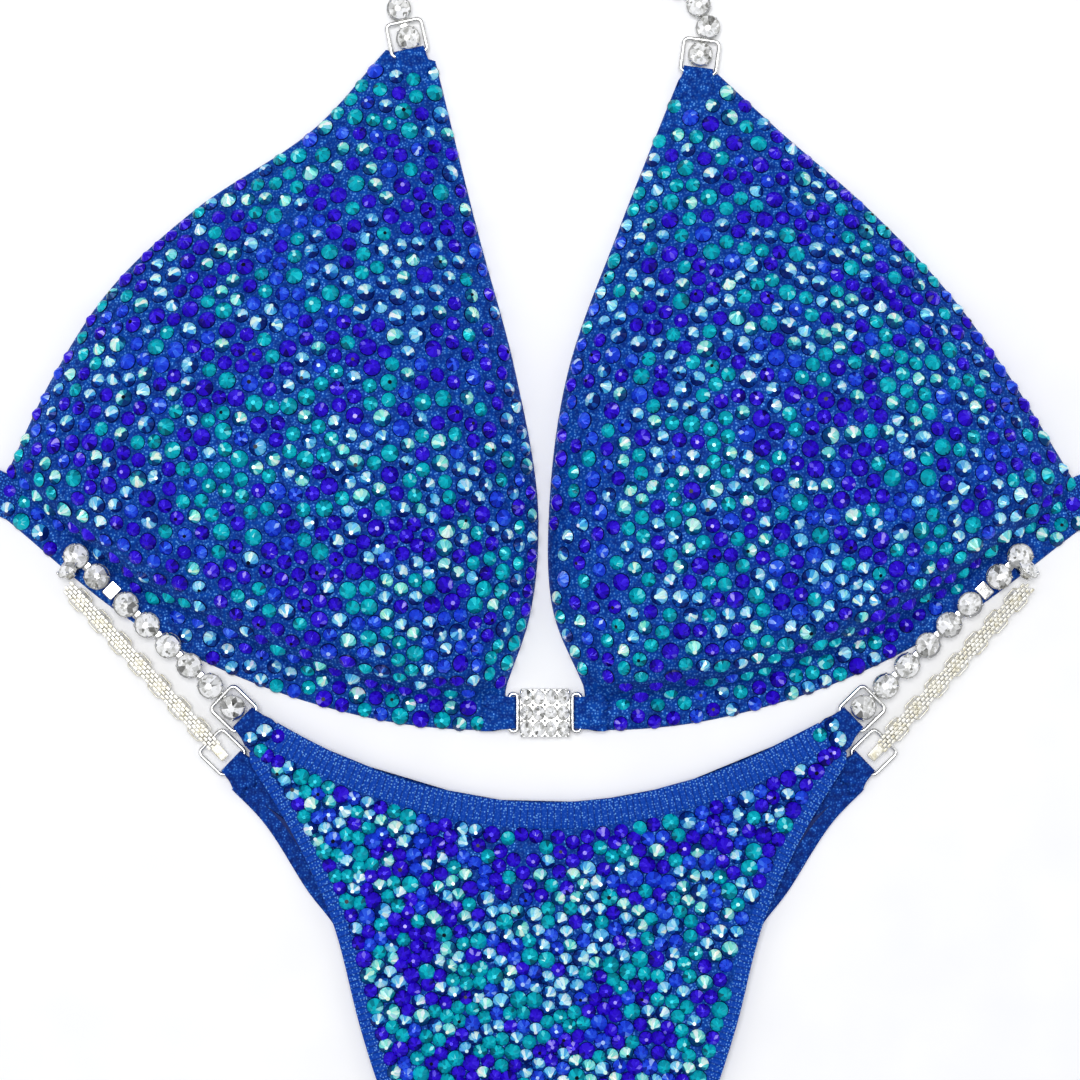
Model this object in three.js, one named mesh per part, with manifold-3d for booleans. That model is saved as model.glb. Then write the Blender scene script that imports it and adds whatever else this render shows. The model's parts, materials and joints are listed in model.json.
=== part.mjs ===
// Two-piece competition bikini laid flat: a padded triangle top with a jewelled centre
// connector and neck chains, and a bottom whose front and back hang on hip chains.
// Millimetres. +X to the right, +Y towards the neck, +Z up off the table.
import * as THREE from 'three';
import { mergeVertices } from 'three/addons/utils/BufferGeometryUtils.js';
import Module from 'manifold-3d';

const wasm = await Module();
wasm.setup();

// ---------------------------------------------------------------- driving dimensions
const gap = 0.3;                  // clearance between neighbouring pieces
const deg = Math.PI / 180;

// Cups. Edges are points in shares of reach (x) and of rise or drop (y).
const cupDrop = 57;               // from the widest level down to the under-bust edge
const cupDepth = 25;              // crown above the table
const shellWall = 1.2;
const padWall = 4;
const liningWall = 0.8;
const bandDepth = 8;              // folded under-bust band
const bandThick = 1.6;
const bandReach = 0.955;          // share of the reach where the stoned shell leaves the band
const sideRise = 0.16;            // share of the rise where the shell's outer edge starts
const cups = {
  left: {
    sign: -1, reach: 161.4, rise: 147, crown: [0.45, 0.2],
    inner: [[0.065, -0.79], [0.026, -0.37], [0.013, 0.068], [0.056, 0.347], [0.126, 0.633], [0.204, 0.978]],
    outer: [[0.2955, 1], [0.431, 0.837], [0.651, 0.673], [0.809, 0.51], [0.917, 0.327], [1, 0.135]],
    bottom: [[1.01, 0.05], [0.765, -0.433], [0.525, -0.77], [0.294, -0.954]],
  },
  right: {
    sign: 1, reach: 158.7, rise: 140.5, crown: [0.45, 0.2],
    inner: [[0.056, -0.79], [0.015, -0.37], [0.008, 0.071], [0.043, 0.357], [0.14, 0.664], [0.255, 0.99]],
    outer: [[0.321, 1], [0.437, 0.879], [0.611, 0.707], [0.756, 0.536], [0.873, 0.357], [1, 0.125]],
    bottom: [[1.02, 0.03], [0.775, -0.433], [0.534, -0.77], [0.296, -0.956]],
  },
};

// Back straps, folded elastic covered in the same fabric.
const strapWidth = 12.6;
const strapLength = 150;
const strapHeading = 24 * deg;

// Wire rings and the fabric casings that hold them.
const wire = 1.3;
const sleeveWall = 0.5;
const neckRing = { sideRoom: 1.2, tail: 8, tailWidth: 13 };
const hipRing = { sideRoom: 0.7, tail: 8, tailWidth: 12.2 };
const strapRing = { width: 12, reach: 10, tail: 6 };
const eyeRoom = 6;                // space in the neck eye for the hook, past the last setting
const hookTongue = 9;

// Cup chains: round crystals in settings joined by a flat strip of link plates.
const neckChain = { setting: 7, link: 1, height: 3.6, strip: 3, plate: 0.8, innerCount: 11, outerCount: 10 };
const hipChain = { setting: 7.4, link: 1.35, height: 3.6, strip: 3.2, plate: 1, run: 44.4, endCount: 2 };
const flatLink = 4.6;             // plain link near the fold of a hip chain
const ropeWidth = 5;              // hip chain seen from its back, between setting edges
const ropeThick = 3.4;
const ropeLean = 3.4 * deg;       // back run closes on the front run towards the fold
const neckLane = 8;               // half the spacing of the two neck chains above the top

// Centre connector.
const connectorWidth = 15;
const connectorHeight = 14.7;
const connectorThick = 4;
const connectorLevel = -51.7;     // its centre, measured from the widest level of the cups
const loopReach = 10.6;           // wire loop's bar from the middle of the connector
const loopWidth = 12.6;

// Bottom garment.
const panelOffset = 0.9;          // its middle sits a little to the right of the top's
const hipHalf = 90;               // hip ring's casing bar from the middle
const hipRise = 24.3;             // casing bar above the middle of the waist edge
const hipHeading = 44 * deg;
// The front waist edge drops as the hip settings widen, which keeps the chains off the cups.
const waistLevel = -73.16 - hipChain.setting / 2 / Math.cos(hipHeading);
const waistScoop = 28.6;          // how much higher the waist edge is at the hips
const backScoop = 40;
const backDip = 28;               // back waist edge below the front one in the middle
const backSetBack = 6.5;          // back hip ring behind the front one, along the chain
const panelDrop = 162;            // front waist edge to the crotch
const crotchHalf = 22;
const panelThick = 1;
const liningThick = 0.5;
const waistHem = 8;
const legHem = 5;
const seamDepth = 4;
const frontLeg = [[0.87, -0.035], [0.79, -0.122], [0.71, -0.227], [0.625, -0.41], [0.563, -0.52],
  [0.467, -0.66], [0.367, -0.79], [0.29, -0.9]];
const backLeg = [[0.945, -0.04], [0.8, -0.165], [0.7, -0.24], [0.61, -0.37], [0.53, -0.52],
  [0.43, -0.68], [0.33, -0.83], [0.27, -0.93]];

// ---------------------------------------------------------------- derived heights
const boreRadius = wire * Math.SQRT1_2 + gap;
const sleeveRadius = boreRadius + sleeveWall;
const lowBar = sleeveRadius;      // ring bars whose casing lies on the table
const highBar = bandThick + gap + hipChain.plate + gap + wire / 2;
const bandStart = loopReach + neckRing.tail + 5 * gap;
const pitchOf = (chain) => chain.setting + chain.link;
const beadOffset = (chain) => chain.setting / 2 + gap + wire / 2;
const ringReach = (chain) => beadOffset(chain) + chain.setting / 2 + gap + sleeveRadius;
const ringWidth = (chain, { sideRoom }) => chain.setting + 2 * (wire + sideRoom);
const sleeveWidth = (width) => width - 2 * (wire + gap);

const hipSpread = (ringWidth(hipChain, hipRing) + hipRing.tailWidth) / 2 + gap;

// ---------------------------------------------------------------- materials
const knit = new THREE.MeshStandardMaterial({ color: 0x0a3fa6, roughness: 0.6, metalness: 0.1 });
const liner = new THREE.MeshStandardMaterial({ color: 0x0a2c7c, roughness: 0.75, metalness: 0 });
const foam = new THREE.MeshStandardMaterial({ color: 0x26345c, roughness: 0.95, metalness: 0 });
const silver = new THREE.MeshStandardMaterial({ color: 0xe9e9e6, roughness: 0.2, metalness: 1 });

// ---------------------------------------------------------------- shape helpers
function curve(points, count) {
  const flat = points.map(([x, y]) => new THREE.Vector3(x, y, 0));
  const path = new THREE.CatmullRomCurve3(flat, false, 'centripetal');
  return path.getSpacedPoints(count).map((p) => [p.x, p.y]);
}

// The same line with its points spread evenly over its length.
function respace(points, count) {
  const path = new THREE.CurvePath();
  for (let i = 1; i < points.length; i += 1) {
    path.add(new THREE.LineCurve(new THREE.Vector2(...points[i - 1]), new THREE.Vector2(...points[i])));
  }
  return path.getSpacedPoints(count).map((p) => [p.x, p.y]);
}

// Moves a line sideways, to its left for a positive distance.
function offset(points, distance) {
  return points.map(([x, y], i) => {
    const before = points[Math.max(i - 1, 0)];
    const after = points[Math.min(i + 1, points.length - 1)];
    const dx = after[0] - before[0];
    const dy = after[1] - before[1];
    const run = Math.hypot(dx, dy);
    return [x - (dy / run) * distance, y + (dx / run) * distance];
  });
}

function strip(points, from, to) {
  return [...offset(points, from), ...offset(points, to).reverse()];
}

function slab(points, low, high, hole) {
  const shape = new THREE.Shape(points.map(([x, y]) => new THREE.Vector2(x, y)));
  if (hole) {
    shape.holes.push(new THREE.Path(hole.map(([x, y]) => new THREE.Vector2(x, y))));
  }
  const body = new THREE.ExtrudeGeometry(shape, { depth: high - low, bevelEnabled: false });
  return body.translate(0, 0, low);
}

function box(x0, x1, y0, y1, z0, z1) {
  return slab([[x0, y0], [x1, y0], [x1, y1], [x0, y1]], z0, z1);
}

function toSolid(geometry) {
  const bare = geometry.clone();
  bare.deleteAttribute('normal');
  bare.deleteAttribute('uv');
  const merged = mergeVertices(bare, 1e-4);
  return new wasm.Manifold(new wasm.Mesh({
    numProp: 3,
    vertProperties: new Float32Array(merged.attributes.position.array),
    triVerts: new Uint32Array(merged.index.array),
  }));
}

function toGeometry(solid) {
  const mesh = solid.getMesh();
  const geometry = new THREE.BufferGeometry();
  geometry.setAttribute('position', new THREE.BufferAttribute(mesh.vertProperties, 3));
  geometry.setIndex(new THREE.BufferAttribute(mesh.triVerts, 1));
  return geometry;
}

function join(first, ...others) {
  return toGeometry(others.reduce((whole, next) => whole.add(toSolid(next)), toSolid(first)));
}

function cut(first, ...others) {
  return toGeometry(others.reduce((whole, next) => whole.subtract(toSolid(next)), toSolid(first)));
}

function place(parent, name, geometry, material) {
  const mesh = new THREE.Mesh(geometry, material);
  mesh.name = name;
  parent.add(mesh);
}

// A pivot frame: local +X points along the heading, local Y along the hinge axis.
function pivot(parent, name, x, y, z, heading) {
  const frame = new THREE.Group();
  frame.name = name;
  frame.position.set(x, y, z);
  frame.rotation.z = heading;
  parent.add(frame);
  return frame;
}

function roundedRectangle(x0, x1, half, radius) {
  const corners = [[x1 - radius, half - radius, 0], [x0 + radius, half - radius, 90],
    [x0 + radius, radius - half, 180], [x1 - radius, radius - half, 270]];
  return corners.flatMap(([cx, cy, start]) => [0, 30, 60, 90].map((turn) => {
    const angle = (start + turn) * deg;
    return [cx + radius * Math.cos(angle), cy + radius * Math.sin(angle)];
  }));
}

// A rectangular wire ring lying flat: bars centred on x = 0 and x = reach.
function ring(reach, width) {
  const outer = roundedRectangle(-wire / 2, reach + wire / 2, width / 2, 2);
  const inner = roundedRectangle(wire / 2, reach - wire / 2, width / 2 - wire, 0.9);
  return slab(outer, -wire / 2, wire / 2, inner.reverse());
}

function rod(radius, length, sides) {
  return new THREE.CylinderGeometry(radius, radius, length, sides);
}

// Fabric folded over a bar on the local Y axis and sewn down behind it.
function casing(width, tail, tailWidth, thick) {
  const start = -boreRadius - gap;
  const half = width / 2;
  const flap = slab([[0, -half], [0, half], [start, half], [-tail * 0.5, tailWidth / 2],
    [-tail, tailWidth / 2], [-tail, -tailWidth / 2], [-tail * 0.5, -tailWidth / 2], [start, -half]],
  -thick / 2, thick / 2);
  const sleeve = rod(sleeveRadius, width, 12);
  const bore = rod(boreRadius, width * 2, 12);
  return cut(join(sleeve, flap), bore);
}

// Cup chain along a line in the plane: tapered settings on a flat strip of link plates.
function chainRun(path, stations, chain, ends) {
  const total = path.getLength();
  const at = (distance) => path.getPointAt(Math.min(Math.max(distance / total, 0), 1));
  const steps = Math.max(2, Math.round((ends[1] - ends[0]) / pitchOf(chain)));
  const line = [];
  for (let i = 0; i <= steps; i += 1) {
    const p = at(ends[0] + (ends[1] - ends[0]) * i / steps);
    line.push([p.x, p.y]);
  }
  const plates = slab(strip(line, -chain.strip / 2, chain.strip / 2), 0, chain.plate);
  const settings = stations.map((distance) => {
    const p = at(distance);
    const cup = new THREE.CylinderGeometry(chain.setting / 2, chain.setting / 2 - 0.5, chain.height, 9);
    return cup.rotateX(90 * deg).translate(p.x, p.y, chain.height / 2);
  });
  return join(plates, ...settings);
}

function straight(from, to) {
  return new THREE.LineCurve3(new THREE.Vector3(from, 0, 0), new THREE.Vector3(to, 0, 0));
}

// ---------------------------------------------------------------- centre connector
const model = new THREE.Group();
const centre = pivot(model, 'centre_connector', 0, connectorLevel, 0, 0);

function connector() {
  place(centre, 'connector_block', box(-connectorWidth / 2, connectorWidth / 2,
    -connectorHeight / 2, connectorHeight / 2, 0, connectorThick), silver);
  for (const [name, { sign }] of Object.entries(cups)) {
    const root = connectorWidth / 2 + gap;
    const outer = roundedRectangle(-root, loopReach + wire / 2, loopWidth / 2, 2);
    const inner = roundedRectangle(-root * 2, loopReach - wire / 2, loopWidth / 2 - wire, 0.9);
    const loop = cut(slab(outer, -wire / 2, wire / 2), slab(inner, -wire, wire),
      box(-root * 3, root, -loopWidth, loopWidth, -wire, wire));
    loop.rotateZ(sign > 0 ? 0 : Math.PI).translate(0, 0, lowBar);
    place(centre, `connector_loop_${name}`, loop, silver);
  }
}

// ---------------------------------------------------------------- top
function cupEdges(cup) {
  const fit = ([u, v]) => [u * cup.reach, v * (v > 0 ? cup.rise : cupDrop)];
  const bandEnd = [bandStart, -cupDrop];
  return {
    inner: curve(cup.inner.map(fit), 90),
    outer: curve(cup.outer.map(fit), 90),
    bottom: curve([...cup.bottom.map(fit), bandEnd], 90),
  };
}

// Height of the cup over the table: a steep-sided dome that thins out towards the apex.
function domeHeight(share, y, rise, depth) {
  const climb = THREE.MathUtils.smoothstep(y, rise * 0.2, rise);
  return depth * Math.sqrt(Math.max(0, 1 - share ** 2.4)) * (1 - 0.68 * climb);
}

// One layer of the cup: an upper and a lower dome joined round the rim.
function domeLayer(outline, crown, rise, upper, lower) {
  const shares = [0.3, 0.55, 0.76, 0.91, 1];
  const around = outline.length;
  const positions = [];
  const index = [];
  for (const { inset, drop } of [upper, lower]) {
    const depth = cupDepth - drop;
    positions.push(crown[0], crown[1], domeHeight(0, crown[1], rise, depth));
    for (const share of shares) {
      for (const [x, y] of outline) {
        const away = Math.hypot(x - crown[0], y - crown[1]);
        const scale = share * (1 - inset / away);
        const py = crown[1] + (y - crown[1]) * scale;
        positions.push(crown[0] + (x - crown[0]) * scale, py, domeHeight(share, py, rise, depth));
      }
    }
  }
  const sheet = 1 + shares.length * around;
  for (let j = 0; j < around; j += 1) {
    const k = (j + 1) % around;
    index.push(0, 1 + j, 1 + k, sheet, sheet + 1 + k, sheet + 1 + j);
    for (let i = 0; i < shares.length - 1; i += 1) {
      const a = 1 + i * around;
      const b = a + around;
      index.push(a + j, b + j, b + k, a + j, b + k, a + k);
      index.push(sheet + a + j, sheet + b + k, sheet + b + j, sheet + a + j, sheet + a + k, sheet + b + k);
    }
    const rim = 1 + (shares.length - 1) * around;
    index.push(rim + j, sheet + rim + j, sheet + rim + k, rim + j, sheet + rim + k, rim + k);
  }
  const geometry = new THREE.BufferGeometry();
  geometry.setAttribute('position', new THREE.Float32BufferAttribute(positions, 3));
  geometry.setIndex(index);
  return geometry;
}

function mirrored(points, sign) {
  const turned = points.map(([x, y]) => [x * sign, y]);
  return sign > 0 ? turned : turned.reverse();
}

function cupLayers(body, name, cup, edges, apexCut) {
  const casingTop = connectorLevel + loopWidth / 2 + gap;
  const bandTop = offset(edges.bottom, -bandDepth - gap);
  const outline = mirrored([
    ...respace(bandTop.filter(([x]) => x < cup.reach * bandReach), 10).reverse(),
    // outer edge, then the inner edge down to the corner above the centre casing
    ...respace(edges.outer.filter(([, y]) => y > cup.rise * sideRise && y < apexCut), 10).reverse(),
    ...respace(edges.inner.filter(([, y]) => y > casingTop && y < apexCut), 11).reverse(),
    [bandStart, casingTop],
  ], cup.sign);
  const crown = [cup.crown[0] * cup.reach * cup.sign, cup.crown[1] * cup.rise];
  const layers = [
    ['cup_shell', shellWall, knit],
    ['cup_pad', padWall, foam],
    ['cup_lining', liningWall, liner],
  ];
  let depth = 0;
  for (const [piece, wall, material] of layers) {
    const upper = { inset: depth, drop: depth };
    const rimWall = Math.min(wall, 1.2);
    const lower = { inset: depth + rimWall, drop: depth + wall };
    place(body, `${name}_${piece}`, domeLayer(outline, crown, cup.rise, upper, lower), material);
    depth += wall + gap;
  }
}

function backStrap(body, name, cup) {
  const root = [cup.sign * cup.reach * 1.001, cup.rise * 0.088];
  const heading = cup.sign > 0 ? strapHeading : Math.PI - strapHeading;
  const frame = pivot(body, '', root[0], root[1], 0, heading);
  const half = sleeveWidth(strapRing.width) / 2;
  const tip = strapLength - sleeveRadius - gap;
  const band = box(0, tip, -strapWidth / 2, strapWidth / 2, 0, bandThick);
  const fold = rod(sleeveRadius, 2 * half, 12).translate(strapLength, 0, lowBar);
  const turned = box(strapLength - strapRing.tail, strapLength, -half, half, 0, lowBar);
  const bore = rod(boreRadius, strapWidth * 2, 12).translate(strapLength, 0, lowBar);
  place(frame, `${name}_back_strap`, cut(join(band, fold, turned), bore), knit);
  const fastener = pivot(frame, `${name}_back_fastener`, strapLength, 0, lowBar, 0);
  const eye = ring(strapRing.reach, strapRing.width);
  if (name === 'left') {
    place(fastener, 'back_hook', join(eye, hook(strapRing.reach)), silver);
  } else {
    place(fastener, 'back_eye', eye, silver);
  }
}

// Flat J-shaped tongue that starts at a ring's outer bar.
function hook(from) {
  const tip = from + hookTongue;
  const points = [[from, 2.6], [from + 1, 3.8], [tip - 2, 3.8], [tip, 1.8], [tip, -1.8], [tip - 2, -3.8],
    [from + 4, -3.8], [from + 4, -2], [tip - 2.6, -2], [tip - 1.8, -1], [tip - 1.8, 1], [tip - 2.6, 2],
    [from + 1.6, 2], [from + 1.6, 1], [from, 1]];
  return slab([...points].reverse(), -wire / 2, wire / 2);
}

function neckPath(cup, start, heading) {
  const away = (distance) => [start[0] + distance * Math.cos(heading),
    start[1] + distance * Math.sin(heading)];
  const lane = neckLane * cup.sign;
  const side = start[0] - lane;
  const rise = Math.abs(side);
  const points = [away(-pitchOf(neckChain)), start, away(pitchOf(neckChain)),
    [lane + side * 0.5, start[1] + rise * 0.65], [lane + side * 0.1, start[1] + rise * 1.15],
    [lane, start[1] + rise * 1.6], [lane, start[1] + rise * 2],
    [lane, start[1] + rise * 2 + neckChain.innerCount * pitchOf(neckChain)]];
  const flat = points.map(([x, y]) => new THREE.Vector3(x, y, 0));
  return new THREE.CatmullRomCurve3(flat, false, 'centripetal');
}

function neckChains(body, name, cup, apex, heading) {
  const reach = ringReach(neckChain);
  const width = ringWidth(neckChain, neckRing);
  const ringFrame = pivot(body, `${name}_neck_ring`, apex[0], apex[1], lowBar, heading);
  place(ringFrame, `${name}_neck_ring`, ring(reach, width), silver);

  const bar = [apex[0] + reach * Math.cos(heading), apex[1] + reach * Math.sin(heading)];
  const path = neckPath(cup, bar, heading);
  const barAt = pitchOf(neckChain);
  const first = beadOffset(neckChain);
  const stations = [barAt - first];
  for (let i = 0; i < neckChain.innerCount - 1; i += 1) {
    stations.push(barAt + first + i * pitchOf(neckChain));
  }
  const turnGap = pitchOf(neckChain) / 2 + gap;
  const joint = stations[stations.length - 1] + turnGap;
  const run = chainRun(path, stations, neckChain, [stations[0], joint - gap]);
  const inner = pivot(ringFrame, `${name}_neck_chain_inner`, reach, 0, 0, 0);
  const toLocal = new THREE.Matrix4().makeRotationZ(heading);
  toLocal.setPosition(bar[0], bar[1], lowBar);
  toLocal.invert();
  place(inner, `${name}_neck_chain_inner`, run.applyMatrix4(toLocal), silver);

  const total = path.getLength();
  const end = path.getPointAt(joint / total);
  const turn = Math.PI / 2;
  const local = new THREE.Vector3(end.x, end.y, neckChain.plate / 2).applyMatrix4(toLocal);
  const outer = pivot(inner, `${name}_neck_chain_outer`, local.x, local.y, local.z, turn - heading);
  const places = [];
  for (let i = 0; i < neckChain.outerCount; i += 1) {
    places.push(turnGap + i * pitchOf(neckChain));
  }
  const last = places[places.length - 1] + first;
  places.push(last + first);
  const tail = chainRun(straight(0, last + first), places, neckChain, [gap, last + first]);
  place(outer, `${name}_neck_chain_outer`, tail.translate(0, 0, -neckChain.plate / 2), silver);
  const clasp = pivot(outer, `${name}_neck_clasp`, last, 0, lowBar - neckChain.plate / 2, 0);
  if (name === 'left') {
    place(clasp, 'neck_hook', join(ring(reach, width), hook(reach)), silver);
  } else {
    place(clasp, 'neck_eye', ring(reach + eyeRoom, width), silver);
  }
}

function top() {
  for (const [name, cup] of Object.entries(cups)) {
    const body = pivot(centre, `${name}_cup`, cup.sign * loopReach, 0, lowBar, 0);
    const inside = new THREE.Group();
    inside.position.set(-cup.sign * loopReach, -connectorLevel, -lowBar);
    body.add(inside);

    const edges = cupEdges(cup);
    const innerTip = edges.inner[edges.inner.length - 1];
    const outerTip = edges.outer[0];
    const middle = [(innerTip[0] + outerTip[0]) / 2 * cup.sign, (innerTip[1] + outerTip[1]) / 2];
    const lean = Math.atan2(outerTip[0] - innerTip[0], (outerTip[1] - innerTip[1])) - Math.PI / 2;
    const heading = Math.PI / 2 - lean * -cup.sign;
    const apexCut = middle[1] - neckRing.tail - sleeveRadius;
    cupLayers(inside, name, cup, edges, apexCut);

    const bandLine = respace(edges.bottom, 16);
    const bandShape = mirrored(strip(bandLine, -bandDepth, 0), cup.sign);
    place(inside, `${name}_hem_band`, slab(bandShape, 0, bandThick), knit);

    const apexFrame = pivot(inside, '', middle[0], middle[1], lowBar, heading);
    place(apexFrame, `${name}_apex_casing`,
      casing(sleeveWidth(ringWidth(neckChain, neckRing)), neckRing.tail, neckRing.tailWidth, bandThick), knit);
    const facing = cup.sign > 0 ? Math.PI : 0;
    const centreFrame = pivot(inside, '', cup.sign * loopReach, connectorLevel, lowBar, facing);
    place(centreFrame, `${name}_centre_casing`,
      casing(sleeveWidth(loopWidth), neckRing.tail, loopWidth - wire + 0.2, bandThick), knit);
    backStrap(inside, name, cup);
    neckChains(inside, name, cup, middle, heading);
  }
}

// ---------------------------------------------------------------- bottom
const bottomBody = pivot(centre, 'bottom', panelOffset, waistLevel - connectorLevel, 0, 0);

function waistLine(scoop, hip, middle) {
  const line = [];
  const steps = 14;
  for (let i = 0; i <= steps; i += 1) {
    const share = 2 * i / steps - 1;
    line.push([share * hip, middle + scoop * share * share]);
  }
  return line;
}

function legLine(points, corner) {
  const scaled = points.map(([u, v]) => [u * hipHalf, v * panelDrop]);
  return curve([corner, ...scaled, [crotchHalf, -panelDrop]], 14);
}

function hipFrame(sign, along, across) {
  const x = sign * (hipHalf + Math.cos(hipHeading) * along + Math.sin(hipHeading) * across);
  const y = hipRise + Math.sin(hipHeading) * along - Math.cos(hipHeading) * across;
  return { x, y, heading: sign > 0 ? hipHeading : Math.PI - hipHeading };
}

// One panel with its lining, hems and seam allowances, all at their own heights.
function panel(name, { scoop, middle, leg, frame, low, lining }) {
  const corner = [frame.x + Math.sin(hipHeading) * hipRing.tailWidth / 2,
    frame.y - Math.cos(hipHeading) * hipRing.tailWidth / 2];
  const hip = frame.x - Math.sin(hipHeading) * hipRing.tailWidth / 2;
  const waist = waistLine(scoop, hip, middle);
  const edge = legLine(leg, corner);
  const otherEdge = edge.map(([x, y]) => [-x, y]);
  const outline = [...waist, ...edge, ...[...otherEdge].reverse()];
  const high = low + panelThick;
  const reach = hipRing.tail + gap;
  const ends = [1, -1].map((sign) => {
    const end = box(-reach, 40, -30, 30, -1, 9);
    return end.rotateZ(sign > 0 ? hipHeading : Math.PI - hipHeading).translate(sign * frame.x, frame.y, 0);
  });
  const waistCut = slab(strip(waist, -waistHem - gap, 12), -1, 9);
  const legCuts = [slab(strip(edge, -legHem - gap, 12), -1, 9),
    slab(strip([...otherEdge].reverse(), -legHem - gap, 12), -1, 9)];
  const hem = slab(strip(waist, -waistHem, 0), low, high);
  place(bottomBody, `${name}_waist_hem`, cut(hem, ...ends), knit);
  place(bottomBody, `${name}_panel`, cut(slab(outline, low, high), ...ends, waistCut, ...legCuts), knit);
  for (const [side, line] of [['right', edge], ['left', [...otherEdge].reverse()]]) {
    const legBand = slab(strip(line, -legHem, 0), low, high);
    place(bottomBody, `${name}_leg_hem_${side}`, cut(legBand, waistCut, ...ends), knit);
  }
  const inside = slab(outline, lining, lining + liningThick);
  place(bottomBody, `${name}_lining`, cut(inside, ...ends, waistCut, ...legCuts), liner);
}

function hipChains() {
  const reach = ringReach(hipChain);
  const width = ringWidth(hipChain, hipRing);
  const first = beadOffset(hipChain);
  for (const [name, { sign }] of Object.entries(cups)) {
    const front = hipFrame(sign, 0, 0);
    const frontCasing = pivot(bottomBody, '', front.x, front.y, highBar, front.heading);
    const sleeve = casing(sleeveWidth(width), hipRing.tail, hipRing.tailWidth, bandThick);
    place(frontCasing, `${name}_front_hip_casing`, sleeve, knit);
    const frontRing = pivot(bottomBody, `${name}_front_hip_ring`, front.x, front.y, highBar, front.heading);
    place(frontRing, `${name}_front_hip_ring`, ring(reach, width), silver);
    const run = pivot(frontRing, `${name}_front_chain`, reach, 0, 0, 0);
    const stations = [-first];
    const between = Math.floor((hipChain.run - 2 * first) / pitchOf(hipChain));
    for (let i = 0; i <= between; i += 1) {
      stations.push(first + i * pitchOf(hipChain));
    }
    const inner = stations[stations.length - 1];
    for (let i = 0; i < hipChain.endCount; i += 1) {
      stations.push(inner + hipChain.setting + flatLink + i * pitchOf(hipChain));
    }
    const shifted = stations.map((s) => s + first);
    const length = shifted[shifted.length - 1];
    const chain = chainRun(straight(-first, length - first), shifted, hipChain, [0, length]);
    const link = box(inner + hipChain.setting / 2 + gap, inner + flatLink + hipChain.setting / 2 - gap,
      -hipChain.strip, hipChain.strip, 0, 2);
    const under = -wire / 2 - gap - hipChain.plate;
    place(run, `${name}_front_chain`, join(chain, link).translate(0, 0, under), silver);

    const back = hipFrame(sign, -backSetBack, hipSpread);
    const backHeading = front.heading + sign * ropeLean;
    const backCasing = pivot(bottomBody, '', back.x, back.y, lowBar, back.heading);
    place(backCasing, `${name}_back_hip_casing`, sleeve.clone(), knit);
    const backRing = pivot(bottomBody, `${name}_back_hip_ring`, back.x, back.y, lowBar, front.heading);
    place(backRing, `${name}_back_hip_ring`, ring(reach, width), silver);
    const rope = pivot(backRing, `${name}_back_chain`, reach, 0, 0, backHeading - front.heading);
    const ropeLength = length - first + backSetBack - pitchOf(hipChain) / 2;
    const faceDown = join(box(-first - ropeWidth / 2, ropeLength, -ropeWidth / 2 + 0.8, ropeWidth / 2 - 0.8,
      wire / 2 + gap, wire / 2 + gap + hipChain.plate),
    box(first - ropeWidth / 2 + 1.2, ropeLength, -ropeWidth / 2, ropeWidth / 2,
      wire / 2 + gap + hipChain.plate - ropeThick, wire / 2 + gap + hipChain.plate - 0.2));
    place(rope, `${name}_back_chain`, faceDown, silver);
  }
}

function bottom() {
  const backLow = 0;
  const backLining = backLow + panelThick + gap;
  const gussetLow = backLining + liningThick + gap;
  const frontLining = gussetLow + liningThick + gap;
  const frontLow = frontLining + liningThick + gap;
  panel('front', { scoop: waistScoop, middle: 0, leg: frontLeg, frame: hipFrame(1, 0, 0),
    low: frontLow, lining: frontLining });
  panel('back', { scoop: backScoop, middle: -backDip, leg: backLeg,
    frame: hipFrame(1, -backSetBack, hipSpread), low: backLow, lining: backLining });
  const half = crotchHalf - legHem - gap;
  place(bottomBody, 'gusset', slab([[-half, -panelDrop + gap], [half, -panelDrop + gap],
    [half * 1.15, -panelDrop * 0.8], [half * 0.9, -panelDrop * 0.62], [-half * 0.9, -panelDrop * 0.62],
    [-half * 1.15, -panelDrop * 0.8]], gussetLow, gussetLow + liningThick), liner);
  place(bottomBody, 'crotch_seam', box(-crotchHalf, crotchHalf, -panelDrop - seamDepth, -panelDrop - gap,
    0, frontLow + panelThick), knit);
  hipChains();
}

connector();
top();
bottom();

// Origin: middle of the footprint, on the table.
const bounds = new THREE.Box3().setFromObject(model);
model.position.set(-(bounds.min.x + bounds.max.x) / 2, -(bounds.min.y + bounds.max.y) / 2, -bounds.min.z);

const group = new THREE.Group();
group.add(model);
export default group;
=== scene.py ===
"""Competition posing bikini laid flat, seen from straight above: a padded, stoned top with a crystal
connector and neck chains, and a scooped bottom whose front and back hang on hip chains."""

import json
import math

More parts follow.
